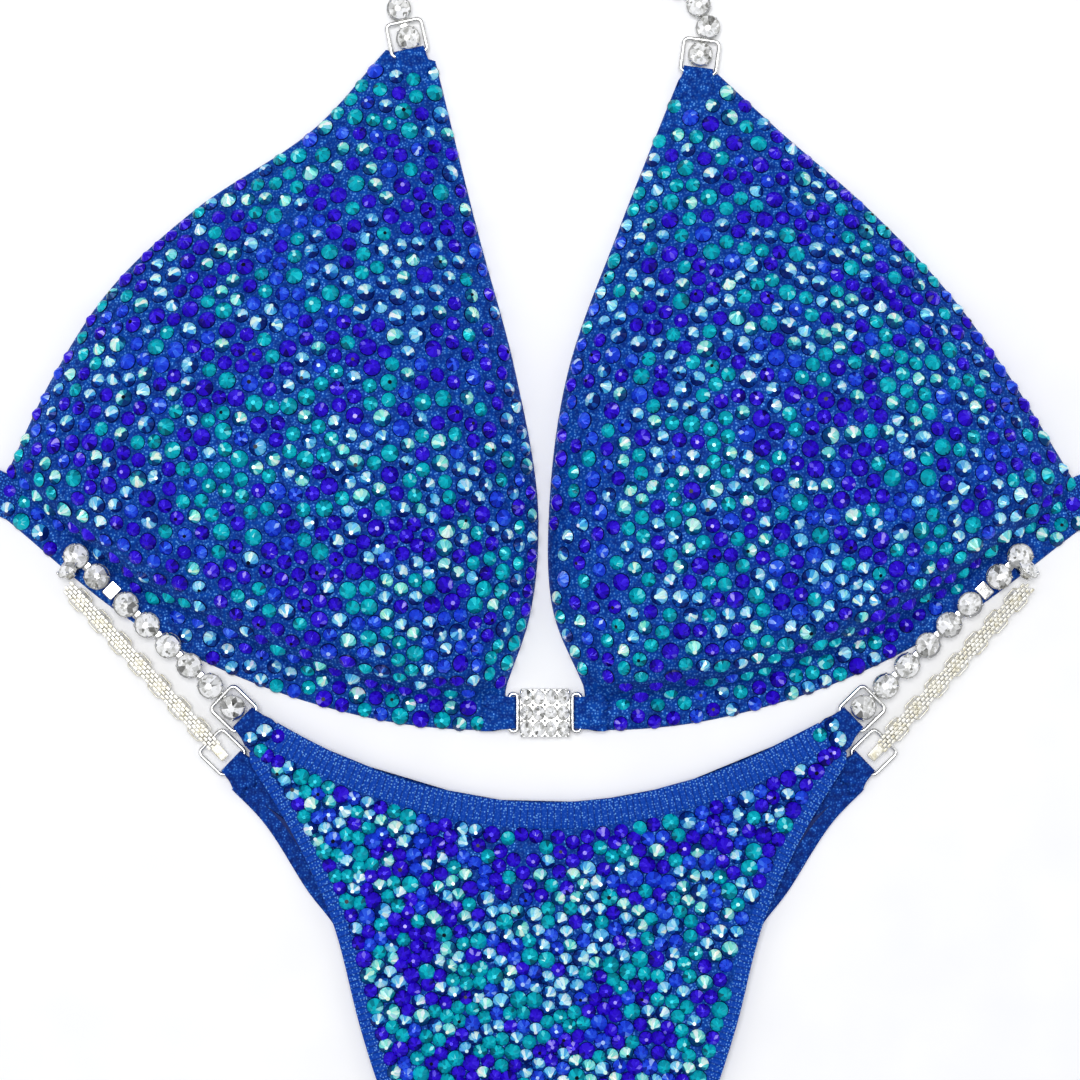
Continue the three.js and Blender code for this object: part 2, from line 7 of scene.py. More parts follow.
import bmesh
import bpy
import numpy as np
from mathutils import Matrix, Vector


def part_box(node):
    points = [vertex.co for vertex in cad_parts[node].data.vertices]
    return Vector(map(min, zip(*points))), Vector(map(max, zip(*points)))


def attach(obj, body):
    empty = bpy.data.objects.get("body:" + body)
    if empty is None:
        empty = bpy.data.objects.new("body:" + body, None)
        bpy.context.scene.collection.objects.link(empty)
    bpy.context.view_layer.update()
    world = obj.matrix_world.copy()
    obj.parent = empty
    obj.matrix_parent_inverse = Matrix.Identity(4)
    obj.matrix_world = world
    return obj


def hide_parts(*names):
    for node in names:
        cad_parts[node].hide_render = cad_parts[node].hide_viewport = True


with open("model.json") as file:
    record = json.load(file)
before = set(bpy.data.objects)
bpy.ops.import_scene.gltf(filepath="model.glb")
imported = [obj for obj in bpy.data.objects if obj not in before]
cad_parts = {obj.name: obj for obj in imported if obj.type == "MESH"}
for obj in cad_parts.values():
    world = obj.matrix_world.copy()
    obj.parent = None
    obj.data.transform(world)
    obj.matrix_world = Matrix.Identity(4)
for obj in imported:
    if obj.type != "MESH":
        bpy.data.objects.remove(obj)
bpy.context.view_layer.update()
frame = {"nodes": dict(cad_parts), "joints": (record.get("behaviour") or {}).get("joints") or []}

# ------------------------------------------------------------------ camera, light and table
# The suit lies on a white table under a large soft light, and the camera looks straight down
# on it from a copy stand.


def linear(colour):
    """A colour such as "#0A3FA6" as linear red, green, blue and alpha."""
    channels = [int(colour[i : i + 2], 16) / 255 for i in (1, 3, 5)]
    return [c / 12.92 if c <= 0.04045 else ((c + 0.055) / 1.055) ** 2.4 for c in channels] + [1.0]


def add(tree, kind, settings=(), links=()):
    """Adds a node, sets its properties and input values, and joins its inputs to other nodes' outputs."""
    node = tree.nodes.new(kind)
    for key, value in dict(settings).items():
        if isinstance(key, str) and hasattr(node, key):
            setattr(node, key, value)
        else:
            node.inputs[key].default_value = value
    for key, output in dict(links).items():
        tree.links.new(output, node.inputs[key])
    return node


def material(name):
    """A new node material and its shader node."""
    made = bpy.data.materials.new(name)
    made.use_nodes = True
    return made, made.node_tree, made.node_tree.nodes["Principled BSDF"]


def ramp(tree, factor, stops):
    """A colour ramp through (place, colour) stops."""
    node = add(tree, "ShaderNodeValToRGB", links={"Fac": factor})
    while len(node.color_ramp.elements) < len(stops):
        node.color_ramp.elements.new(0.5)
    for element, (place, colour) in zip(node.color_ramp.elements, stops):
        element.position = place
        element.color = linear(colour)
    return node.outputs["Color"]


def object_points(tree, scale):
    """Object coordinates, multiplied."""
    where = add(tree, "ShaderNodeTexCoord")
    return add(
        tree, "ShaderNodeVectorMath", {"operation": "SCALE", "Scale": scale}, {0: where.outputs["Object"]}
    ).outputs[0]


CONNECTOR_LEVEL = -51.7
block_low, block_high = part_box("connector_block")
# Layout millimetres are measured from the middle of the top, level with the cups' widest line.
layout_origin = np.array(
    [(block_low.x + block_high.x) * 500, (block_low.y + block_high.y) * 500 - CONNECTOR_LEVEL, 0.0]
)

VIEW_CENTRE = (-1.5, 0.0)
VIEW_HEIGHT = 0.765
camera = bpy.data.objects.new("camera", bpy.data.cameras.new("camera"))
camera.data.sensor_width = 36
camera.data.lens = 85
camera.location = (*((layout_origin[:2] + VIEW_CENTRE) / 1000), VIEW_HEIGHT)
bpy.context.scene.collection.objects.link(camera)
bpy.context.scene.camera = camera
bpy.context.scene.view_settings.view_transform = "Standard"

for name, place, size, power, aimed in (
    ("overhead softbox", (-0.12, 0.2, 1.5), 0.9, 15.0, False),
    ("side fill left", (-1.5, -0.3, 1.1), 1.1, 4.0, True),
    ("side fill right", (1.5, 0.3, 1.1), 1.1, 4.0, True),
):
    light = bpy.data.objects.new(name, bpy.data.lights.new(name, "AREA"))
    light.data.size = size
    light.data.energy = power
    light.location = place
    if aimed:
        light.rotation_euler = (light.location - camera.location).to_track_quat("Z", "Y").to_euler()
    bpy.context.scene.collection.objects.link(light)

world = bpy.data.worlds.new("pale studio")
world.use_nodes = True
world.node_tree.nodes["Background"].inputs["Color"].default_value = linear("#F2F4FA")
world.node_tree.nodes["Background"].inputs["Strength"].default_value = 0.42
bpy.context.scene.world = world


def new_piece(name, points, faces, surface, smooth=True, uv=None):
    """An object made from points in layout millimetres, with its faces turned outwards."""
    mesh = bpy.data.meshes.new(name)
    world_points = (np.asarray(points, float) + layout_origin) / 1000
    mesh.from_pydata(world_points.tolist(), [], [tuple(f) for f in faces])
    if len(faces) > 1:
        turned = bmesh.new()
        turned.from_mesh(mesh)
        bmesh.ops.recalc_face_normals(turned, faces=turned.faces)
        turned.to_mesh(mesh)
        turned.free()
    mesh.polygons.foreach_set("use_smooth", np.broadcast_to(smooth, len(mesh.polygons)).astype(bool))
    if uv is not None:
        corners = np.zeros(len(mesh.loops), np.int32)
        mesh.loops.foreach_get("vertex_index", corners)
        layer = mesh.uv_layers.new(name="UVMap")
        layer.data.foreach_set("uv", (np.asarray(uv, float)[corners] / 1000).ravel().astype(np.float32))
    mesh.materials.append(surface)
    piece = bpy.data.objects.new(name, mesh)
    bpy.context.scene.collection.objects.link(piece)
    return piece


# White laminate: matt, with a slight unevenness in its white.
table_white, tree, shader = material("white laminate table")
grain = add(tree, "ShaderNodeTexNoise", {"Scale": 40}, {"Vector": object_points(tree, 1)})
tree.links.new(
    ramp(tree, grain.outputs["Fac"], [(0.3, "#FBFBFC"), (0.7, "#FFFFFF")]), shader.inputs["Base Color"]
)
shader.inputs["Roughness"].default_value = 0.7
shader.inputs["Specular IOR Level"].default_value = 0.1
TABLE_HALF = 2500
table = new_piece(
    "table",
    [
        (-TABLE_HALF, -TABLE_HALF, 0),
        (TABLE_HALF, -TABLE_HALF, 0),
        (TABLE_HALF, TABLE_HALF, 0),
        (-TABLE_HALF, TABLE_HALF, 0)
    ],
    [(0, 1, 2, 3)],
    table_white,
)

# ------------------------------------------------------------------ cup fabric
# Foil-dotted stretch knit, glued and stitched over a moulded pad and folded up under the bust
# into a flat band, with a stitched line above it.

KNIT_PITCH = 0.95  # mm between foil dots


def knit_material(name, dark, middle, dot, shine):
    """Stretch knit printed with small foil dots in wavy rows."""
    made, tree, shader = material(name)
    place = object_points(tree, 1000 / KNIT_PITCH)
    drift = add(tree, "ShaderNodeTexNoise", {"Scale": 0.11, "Detail": 1}, {"Vector": place})
    bent = add(
        tree,
        "ShaderNodeVectorMath",
        {"operation": "MULTIPLY_ADD", 1: (1.6, 1.6, 1.6)},
        {0: drift.outputs["Color"], 2: place}
    )
    dots = add(
        tree,
        "ShaderNodeTexVoronoi",
        {"voronoi_dimensions": "2D", "Scale": 1, "Randomness": 0.8},
        {"Vector": bent.outputs[0]}
    )
    round_dot = add(
        tree,
        "ShaderNodeMapRange",
        {"From Min": 0.34, "From Max": 0.18, "To Min": 0, "To Max": 1},
        {"Value": dots.outputs["Distance"]}
    )
    patches = add(tree, "ShaderNodeTexNoise", {"Scale": 0.5, "Detail": 3}, {"Vector": place})
    lit = add(
        tree,
        "ShaderNodeMapRange",
        {"From Min": 0.46, "From Max": 0.66, "To Min": 0.12, "To Max": 0.85},
        {"Value": patches.outputs["Fac"]}
    )
    mask = add(
        tree, "ShaderNodeMath", {"operation": "MULTIPLY"}, {0: round_dot.outputs[0], 1: lit.outputs[0]}
    )
    cloth = ramp(tree, patches.outputs["Fac"], [(0.35, dark), (0.65, middle)])
    mixed = add(tree, "ShaderNodeMix", {"data_type": "RGBA"}, {"Factor": mask.outputs[0], 6: cloth})
    mixed.inputs[7].default_value = linear(dot)
    tree.links.new(mixed.outputs[2], shader.inputs["Base Color"])
    gloss = add(tree, "ShaderNodeMapRange", {"To Min": 0.62, "To Max": 0.25}, {"Value": mask.outputs[0]})
    tree.links.new(gloss.outputs[0], shader.inputs["Roughness"])
    metal = add(tree, "ShaderNodeMath", {"operation": "MULTIPLY", 1: shine}, {0: mask.outputs[0]})
    tree.links.new(metal.outputs[0], shader.inputs["Metallic"])
    bump = add(
        tree, "ShaderNodeBump", {"Strength": 0.25, "Distance": 0.0003}, {"Height": dots.outputs["Distance"]}
    )
    tree.links.new(bump.outputs[0], shader.inputs["Normal"])
    shader.inputs["Specular IOR Level"].default_value = 0.05
    return made


foil_knit = knit_material("foil-dotted stretch knit", "#052C80", "#0848A8", "#5FA4EE", 0.2)
plain_knit = knit_material("foil-dotted stretch knit, reverse folds", "#082672", "#093B98", "#3F82DA", 0.2)


def smooth_line(points, count):
    """A centripetal curve through the points, as evenly spaced points: knots lie the square root of
    the distance apart, and the end points are mirrored to give the end tangents."""
    p = np.asarray(points, float)
    p = np.vstack([2 * p[0] - p[1], p, 2 * p[-1] - p[-2]])
    fine = []
    t = np.linspace(0, 1, 60)[:, None]
    for a, b, c, d in zip(p, p[1:], p[2:], p[3:]):
        ab, bc, cd = (math.sqrt(np.linalg.norm(v)) for v in (b - a, c - b, d - c))
        start = ((b - a) / ab - (c - a) / (ab + bc) + (c - b) / bc) * bc
        end = ((c - b) / bc - (d - b) / (bc + cd) + (d - c) / cd) * bc
        fine.append(
            b + start * t + (3 * (c - b) - 2 * start - end) * t**2 + (2 * (b - c) + start + end) * t**3
        )
    return spaced(np.vstack(fine), count)


def spaced(line, count):
    """The line again as evenly spaced points."""
    line = np.asarray(line, float)
    keep = np.r_[True, np.linalg.norm(np.diff(line, axis=0), axis=1) > 1e-9]
    line = line[keep]
    along = np.r_[0, np.cumsum(np.linalg.norm(np.diff(line, axis=0), axis=1))]
    at = np.linspace(0, along[-1], count)
    return np.stack([np.interp(at, along, line[:, k]) for k in range(line.shape[1])], axis=1)


def smoothstep(low, high, value):
    """0 below low, 1 above high, and 3t squared less 2t cubed between."""
    t = np.clip((np.asarray(value, float) - low) / (high - low), 0, 1)
    return t * t * (3 - 2 * t)


def distance_to(line, x, y):
    """Distance of each point from a line of points."""
    shape = np.shape(x)
    p = np.stack([np.ravel(x), np.ravel(y)], axis=1)
    best = np.full(len(p), np.inf)
    for a, b in zip(line[:-1], line[1:]):
        d = b - a
        t = np.clip((p - a) @ d / max(d @ d, 1e-12), 0, 1)
        best = np.minimum(best, np.linalg.norm(p - a - t[:, None] * d, axis=1))
    return best.reshape(shape)


CUP_DROP = 57
CUP_DEPTH = 24.6
BAND_DEPTH = 8
BAND_RISE = 1.6
LOOP_BAR = 10.6
BAND_START = 20.1
SIDES = {"left": -1, "right": 1}
cups = {
    "left": {
        "reach": 161.4, "rise": 147,
        "inner": [
            [0.0725, -0.775], [0.026, -0.37], [0.013, 0.068], [0.056, 0.347], [0.126, 0.633], [0.204, 0.978]
        ],
        "outer": [[0.2955, 1], [0.431, 0.837], [0.651, 0.673], [0.809, 0.51], [0.917, 0.327], [1, 0.135]],
        "bottom": [[1.01, 0.05], [0.765, -0.433], [0.525, -0.77], [0.294, -0.954]],
    },
    "right": {
        "reach": 158.7, "rise": 140.5,
        "inner": [
            [0.0737, -0.775], [0.015, -0.37], [0.008, 0.071], [0.043, 0.357], [0.14, 0.664], [0.255, 0.99]
        ],
        "outer": [[0.321, 1], [0.437, 0.879], [0.611, 0.707], [0.756, 0.536], [0.873, 0.357], [1, 0.125]],
        "bottom": [[1.02, 0.03], [0.775, -0.433], [0.534, -0.77], [0.296, -0.956]],
    },
}

for side, cup in cups.items():
    scaled = {
        edge: [(u * cup["reach"], v * (cup["rise"] if v > 0 else CUP_DROP)) for u, v in cup[edge]]
        for edge in ("inner", "outer", "bottom")
    }
    bottom_edge = smooth_line(
        [*scaled["bottom"], (BAND_START, -CUP_DROP), (LOOP_BAR + 2, -CUP_DROP + 0.6)], 120
    )
    outer_edge = smooth_line(scaled["outer"], 110)
    inner_edge = smooth_line(scaled["inner"], 110)
    cup["bottom_line"] = bottom_edge
    cup["crown"] = np.array([0.45 * cup["reach"], 0.2 * cup["rise"]])
    cup["tips"] = (inner_edge[-1], outer_edge[0])
    ring_line = np.vstack([bottom_edge[::-1], outer_edge[::-1], inner_edge[::-1], bottom_edge[-1:]])
    cup["outline"] = spaced(ring_line, 301)[:-1]
    bearing = np.arctan2(*(cup["outline"] - cup["crown"]).T[::-1])
    order = np.argsort(bearing)
    cup["bearing"] = bearing[order]
    cup["radius"] = np.linalg.norm(cup["outline"] - cup["crown"], axis=1)[order]


def cup_height(cup, x, y, depth=CUP_DEPTH):
    """Height of the cup's top for a right-hand cup. A dome, whose height falls with the share of the way
    from crown to rim, thins towards the apex and runs into the flat folded band below; a stitched
    line dents it where the band begins."""
    dx, dy = x - cup["crown"][0], y - cup["crown"][1]
    rim = np.interp(np.arctan2(dy, dx), cup["bearing"], cup["radius"], period=2 * math.pi)
    share = np.clip(np.hypot(dx, dy) / rim, 0, 1)
    climb = smoothstep(0.2 * cup["rise"], cup["rise"], y)
    dome = depth * (1 - share**2.4) ** 0.6 * (1 - 0.68 * climb)
    rim_roll = BAND_RISE * np.sqrt(np.clip((1 - share) * rim / 1.1, 0, 1))
    from_edge = distance_to(cup["bottom_line"], x, y)
    above = smoothstep(BAND_DEPTH - 1, BAND_DEPTH + 9, from_edge)
    body = np.maximum(rim_roll, dome * above)
    stitched = 0.9 * np.exp(-(((from_edge - BAND_DEPTH) / 0.8) ** 2)) * smoothstep(0, 4, (1 - share) * rim)
    return np.maximum(body - stitched, 0.35)


def ring_faces(rings, around):
    """Quads between closed rings of points that follow one another in a list."""
    start = np.arange(rings - 1)[:, None] * around + np.arange(around)
    turn = np.roll(np.arange(around), -1) - np.arange(around)
    return np.stack([start, start + around, start + around + turn, start + turn], axis=-1).reshape(-1, 4)


def domed_layer(cup, side, shares, top, bottom, inset=0.0):
    """A closed layer of the cup between the surfaces top(x, y) and bottom(x, y), inset from its rim."""
    outline = cup["outline"] - cup["crown"]
    outline = outline * (1 - inset / np.linalg.norm(outline, axis=1))[:, None]
    flat = cup["crown"] + np.asarray(shares)[:, None, None] * outline
    around = len(outline)
    sheets = []
    for height in (top, bottom):
        z = height(flat[..., 0], flat[..., 1])
        sheets.append(np.concatenate([flat, z[..., None]], axis=-1).reshape(-1, 3))
    crown = [
        np.array([[*cup["crown"], float(f(*(np.array([v]) for v in cup["crown"]))[0])]])
        for f in (top, bottom)
    ]
    points = np.vstack([sheets[0], sheets[1][::-1], crown[0], crown[1]])
    count = len(shares) * around
    first = np.arange(around)
    after = np.roll(first, -1)
    upper = ring_faces(len(shares), around)
    mirror = 2 * count - 1
    faces = [*upper.tolist(), *(mirror - upper[:, ::-1]).tolist()]
    faces += [(2 * count, a, b) for a, b in zip(first, after)]
    faces += [(2 * count + 1, mirror - b, mirror - a) for a, b in zip(first, after)]
    rim = count - around
    faces += [(rim + a, mirror - rim - a, mirror - rim - b, rim + b) for a, b in zip(first, after)]
    if SIDES[side] < 0:
        points = points * [-1, 1, 1]
        faces = [f[::-1] for f in faces]
    return points, faces


def flat_area(line):
    """Area inside a closed line in millimetres, in square metres."""
    x, y = np.asarray(line, float)[:, :2].T
    return abs(np.sum(x * np.roll(y, -1) - y * np.roll(x, -1))) / 2e6


FABRIC = 0.9
fine_shares = np.r_[np.linspace(0.05, 0.8, 18), np.linspace(0.82, 0.99, 24), 0.995, 1.0]
for side, cup in cups.items():
    points, faces = domed_layer(
        cup,
        side,
        fine_shares,
        lambda x, y: cup_height(cup, x, y),
        lambda x, y: np.maximum(cup_height(cup, x, y) - FABRIC, 0.05),
    )
    fabric = new_piece(f"{side}_cup_fabric", points, faces, foil_knit)
    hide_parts(f"{side}_cup_shell", f"{side}_hem_band")
    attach(fabric, f"{side}_cup")
    size = np.ptp(cup["outline"], axis=0) / 1000

# ------------------------------------------------------------------ cup pad and lining
# Moulded foam under the fabric, faced inside with smooth matt lining.
foam_grey, tree, shader = material("moulded bra foam")
cells = add(tree, "ShaderNodeTexNoise", {"Scale": 2500}, {"Vector": object_points(tree, 1)})
tree.links.new(
    ramp(tree, cells.outputs["Fac"], [(0.3, "#222E52"), (0.7, "#2E3E6C")]), shader.inputs["Base Color"]
)
shader.inputs["Roughness"].default_value = 0.95

lining_navy, tree, shader = material("matt stretch lining")
rows = add(
    tree, "ShaderNodeTexWave", {"Scale": 2.2, "Distortion": 0.6}, {"Vector": object_points(tree, 1000)}
)
tree.links.new(
    ramp(tree, rows.outputs["Fac"], [(0.2, "#081F5C"), (0.8, "#0B2C78")]), shader.inputs["Base Color"]
)
bump = add(tree, "ShaderNodeBump", {"Strength": 0.2, "Distance": 0.0002}, {"Height": rows.outputs["Fac"]})
tree.links.new(bump.outputs[0], shader.inputs["Normal"])
shader.inputs["Roughness"].default_value = 0.8

coarse_shares = np.r_[np.linspace(0.08, 0.85, 12), 0.9, 0.94, 0.97, 0.99, 1.0]
PAD_WALL = 4
LINING_WALL = 0.8
GAP = 0.3
for side, cup in cups.items():
    for piece, node, surface, start, wall, inset in (
        ("cup_foam", "cup_pad", foam_grey, FABRIC + GAP, PAD_WALL, 9.5),
        ("cup_inside", "cup_lining", lining_navy, FABRIC + PAD_WALL + 2 * GAP, LINING_WALL, 11),
    ):
        points, faces = domed_layer(
            cup,
            side,
            coarse_shares,
            lambda x, y: np.maximum(cup_height(cup, x, y) - start, 0.35),
            lambda x, y: np.maximum(cup_height(cup, x, y) - start - wall, 0.1),
            inset,
        )
        layer = new_piece(f"{side}_{piece}", points, faces, surface)
        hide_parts(f"{side}_{node}")
        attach(layer, f"{side}_cup")
        if node == "cup_pad":
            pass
        else:
            size = (np.ptp(cup["outline"], axis=0) - 2 * inset) / 1000
            shrunk = cup["outline"] - cup["crown"]
            shrunk = shrunk * (1 - inset / np.linalg.norm(shrunk, axis=1))[:, None]

# ------------------------------------------------------------------ flat-back stones on the cups
# Foil-backed glass stones of two sizes, glued on by hand in drifts of colour: violet, sapphire,
# teal and a coated kind that shows one pale fan of facets against dark ones. The fans are painted
# reflections in the facets' colours, with painted highlights on the tables and painted shade on the rims.


def facet_colour_and_painted_light(tree, name):
    """The facets' colour attribute: the stone's hue with painted reflections, highlights and shade."""
    return add(tree, "ShaderNodeAttribute", {"attribute_name": name}).outputs["Color"]


cut_glass, tree, shader = material("foil-backed cut glass")
# The base colour is the facets' painted light: the stone's hue with painted reflections, highlights and
# shade.
tree.links.new(facet_colour_and_painted_light(tree, "facet"), shader.inputs["Base Color"])
shader.inputs["Metallic"].default_value = 0.12
shader.inputs["Specular IOR Level"].default_value = 0.12
wear = add(tree, "ShaderNodeTexNoise", {"Scale": 900}, {"Vector": object_points(tree, 1)})
gloss = add(tree, "ShaderNodeMapRange", {"To Min": 0.05, "To Max": 0.16}, {"Value": wear.outputs["Fac"]})
tree.links.new(gloss.outputs[0], shader.inputs["Roughness"])
shader.inputs["Coat Weight"].default_value = 0.06
shader.inputs["Coat Roughness"].default_value = 0.03


def stone_template():
    """A flat-back stone of radius 1: an octagon table, 8 star facets, 8 kites, 16 girdle facets, a rim
    that is coloured as a painted contact shadow, and a base, with each face's bearing and kind (0 table,
    1 star, 2 kite, 3 girdle, 4 rim, 5 base)."""
    eighth = np.arange(8) * math.pi / 4
    fine = np.arange(16) * math.pi / 8
    rings = []
    for angles, radius, height in (
        (eighth, 0.26, 0.8), (eighth + math.pi / 8, 0.7, 0.5), (fine, 1.0, 0.17), (fine, 1.09, 0.0)
    ):
        rings.append(
            np.stack([radius * np.cos(angles), radius * np.sin(angles), np.full(len(angles), height)], axis=1)
        )
    points = np.vstack(rings)
    middle, girdle, base = 8, 16, 32
    faces = [tuple(range(8))]
    faces += [(k, middle + k, (k + 1) % 8) for k in range(8)]
    faces += [(k, middle + (k - 1) % 8, girdle + 2 * k, middle + k) for k in range(8)]
    for k in range(8):
        faces.append((middle + k, girdle + 2 * k, girdle + 2 * k + 1))
        faces.append((middle + k, girdle + 2 * k + 1, girdle + (2 * k + 2) % 16))
    faces += [(base + j, base + (j + 1) % 16, girdle + (j + 1) % 16, girdle + j) for j in range(16)]
    faces.append(tuple(range(base + 15, base - 1, -1)))
    kinds = np.repeat([0, 1, 2, 3, 4, 5], [1, 8, 8, 16, 16, 1])
    middles = np.array([points[list(f)].mean(axis=0) for f in faces])
    return points, faces, np.arctan2(middles[:, 1], middles[:, 0]), kinds


STONE_POINTS, STONE_FACES, STONE_BEARINGS, STONE_KINDS = stone_template()
# Darkest to brightest facet of each kind of stone: its hue, from painted shade to painted highlight.
STONE_HUES_WITH_PAINTED_LIGHT = {
    "violet": ["#0E0168", "#2004B4", "#2C0AD2", "#3C20EC", "#A89CFF"],
    "sapphire": ["#08187C", "#1434C8", "#1E48E4", "#4078F8", "#B8D4FF"],
    "teal": ["#005C6C", "#0090A4", "#00AEC0", "#14D0DC", "#B4FCFA"],
    "coated": ["#06206C", "#1258B8", "#36A4E4", "#84D8F4", "#E8FFFC"],
    "coated green": ["#063C74", "#0A80A0", "#3CC8D0", "#98EEE4", "#F0FFF4"],
    "clear": ["#7C7C7A", "#C4C4C2", "#ECECEA", "#FFFFFF", "#FFFFFF"],
}
STONE_SHARES = {"violet": 0.33, "sapphire": 0.12, "teal": 0.25, "coated": 0.2, "coated green": 0.1}


def frames_for(normals, spin):
    """Turned axes for each stone, as rows: the third is the surface normal."""
    n = normals / np.linalg.norm(normals, axis=1)[:, None]
    a = np.cross(n, [0.0, 1.0, 0.0])
    a = a / np.linalg.norm(a, axis=1)[:, None]
    b = np.cross(n, a)
    c, s = np.cos(spin)[:, None], np.sin(spin)[:, None]
    return np.stack([a * c + b * s, b * c - a * s, n], axis=1)


def facet_hues_with_painted_light(kinds, turn, fan, rng):
    """Colours of every facet of every stone: the stone's hue with light and shade painted in. A facet is a
    painted reflection, bright where its bearing is near the stone's fan direction and dark elsewhere; the
    facets of one eighth share a chance brightness, so that fans show as wedges. Coated stones have a strong
    fan and the others a faint one, and girdle facets get painted shade. Tables are a white painted
    highlight, a black painted reflection or of the stone's own colour, and the rim is painted dark as a
    contact shadow, or light grey on clear crystals."""
    stones, facets = len(kinds), len(STONE_KINDS)
    bearing = STONE_BEARINGS[None, :] + turn[:, None] + math.pi
    near = np.cos(bearing - fan[:, None])
    wedge = np.floor((STONE_BEARINGS / (2 * math.pi) % 1) * 8 + 0.5).astype(int) % 8
    noise = rng.normal(0, 1, (stones, 8))[:, wedge] * 0.8 + rng.normal(0, 0.5, (stones, facets))
    is_coated = np.char.startswith(kinds, "coated")[:, None]
    is_clear = (kinds == "clear")[:, None]
    # Painted reflection: facets brighten towards the fan, strongly on coated stones, faintly on the others.
    value = np.where(
        is_coated, 0.42 + 0.4 * np.tanh(2.6 * (near - 0.05)) + 0.15 * noise, 0.44 + 0.1 * near + 0.21 * noise
    )
    value = np.where(is_clear, 0.66 + 0.34 * noise, value)
    # Girdle facets are painted darker, as shade.
    value = np.where((STONE_KINDS == 3)[None, :] & ~is_clear, value - 0.12, value)
    # Tables: a white painted highlight on some stones and on most coated ones, else the stone's own colour.
    chance = rng.random((stones, 1))
    table = np.select([chance < 0.13], [0.95], 0.55)
    table = np.where(is_coated & (chance > 0.25), 0.95, table)
    table = np.where(is_clear, 0.9, table)
    value = np.clip(np.where((STONE_KINDS == 0)[None, :], table, value), 0, 1)
    colours = np.empty((stones, facets, 4))
    for kind, stops in STONE_HUES_WITH_PAINTED_LIGHT.items():
        chosen = kinds == kind
        scale = np.array([linear(s) for s in stops])
        at = np.linspace(0, 1, len(stops))
        for channel in range(4):
            colours[chosen, :, channel] = np.interp(value[chosen], at, scale[:, channel])
    # A few tables are painted near black, as a dark reflection.
    black = (chance >= 0.3) & (chance < 0.34) & (STONE_KINDS == 0)[None, :] & ~is_clear
    colours[black] = linear("#050A1C")
    tint = rng.normal(1, 0.07, (stones, facets, 3))
    colours[..., :3] = np.where(
        is_coated[..., None], np.clip(colours[..., :3] * tint, 0, 1), colours[..., :3]
    )
    # The rim is painted dark navy as the stone's contact shadow; on clear crystals it is light grey.
    rim = np.where(is_clear[..., None], np.array(linear("#B8B8B4")), np.array(linear("#04124C")))
    return np.where((STONE_KINDS == 4)[None, :, None], rim, colours)


def stone_piece(name, places, normals, radii, kinds, body, rng, surface=cut_glass, stretch=1.0):
    """One object made of many stones, each with its own turn and facet colours."""
    count = len(places)
    turn = rng.uniform(0, 2 * math.pi, count)
    # The fan, where the painted reflection is brightest, mostly points one way, as if towards a lamp.
    fan = np.where(
        rng.random(count) < 0.75,
        math.radians(75) + rng.normal(0, 0.7, count),
        rng.uniform(0, 2 * math.pi, count)
    )
    axes = frames_for(normals, turn)
    shape = np.repeat((STONE_POINTS * [1, 1, stretch])[None], count, axis=0)
    # A coated stone's table sits off the middle, away from its fan.
    off = np.where(np.char.startswith(kinds, "coated"), 0.24, 0.05)
    away = fan - turn
    shape[:, :8, 0] += (off * np.cos(away))[:, None]
    shape[:, :8, 1] += (off * np.sin(away))[:, None]
    points = np.einsum("nvk,nkj->nvj", shape, axes) * radii[:, None, None] + places[:, None, :]
    sizes = np.array([len(f) for f in STONE_FACES])
    flat = np.concatenate([np.array(f) for f in STONE_FACES])
    corners = (flat[None, :] + np.arange(count)[:, None] * len(STONE_POINTS)).ravel()
    totals = np.tile(sizes, count)
    mesh = bpy.data.meshes.new(name)
    mesh.vertices.add(count * len(STONE_POINTS))
    mesh.vertices.foreach_set(
        "co", ((points.reshape(-1, 3) + layout_origin) / 1000).astype(np.float32).ravel()
    )
    mesh.loops.add(len(corners))
    mesh.loops.foreach_set("vertex_index", corners.astype(np.int32))
    mesh.polygons.add(len(totals))
    mesh.polygons.foreach_set("loop_start", np.r_[0, np.cumsum(totals)[:-1]].astype(np.int32))
    mesh.update(calc_edges=True)
    # The facets' colours, with light and shade painted in as reflections, highlights and shade.
    colours = facet_hues_with_painted_light(kinds, turn, fan, rng)
    layer = mesh.attributes.new("facet", "FLOAT_COLOR", "CORNER")
    layer.data.foreach_set(
        "color", np.repeat(colours.reshape(-1, 4), totals, axis=0).astype(np.float32).ravel()
    )
    mesh.polygons.foreach_set("use_smooth", np.zeros(len(totals), bool))
    mesh.materials.append(surface)
    piece = bpy.data.objects.new(name, mesh)
    bpy.context.scene.collection.objects.link(piece)
    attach(piece, body)
    return piece


def signed_inside(outline, p):
    """Distance of points inside a closed line from it (negative outside), and the unit way inwards."""
    a, b = outline, np.roll(outline, -1, axis=0)
    d = b - a
    t = np.clip(np.einsum("nkj,kj->nk", p[:, None] - a[None], d) / np.maximum((d * d).sum(1), 1e-9), 0, 1)
    gap = p[:, None] - a[None] - t[..., None] * d[None]
    far = np.linalg.norm(gap, axis=2)
    k = far.argmin(axis=1)
    rows = np.arange(len(p))
    x, y = p[:, :1], p[:, 1:]
    crosses = ((a[:, 1] > y) != (b[:, 1] > y)) & (
        x < (b[:, 0] - a[:, 0]) * (y - a[:, 1]) / np.where(d[:, 1] == 0, 1e-9, d[:, 1]) + a[:, 0]
    )
    sign = np.where(crosses.sum(axis=1) % 2 == 1, 1.0, -1.0)
    inward = gap[rows, k] / np.maximum(far[rows, k], 1e-9)[:, None] * sign[:, None]
    return far[rows, k] * sign, inward


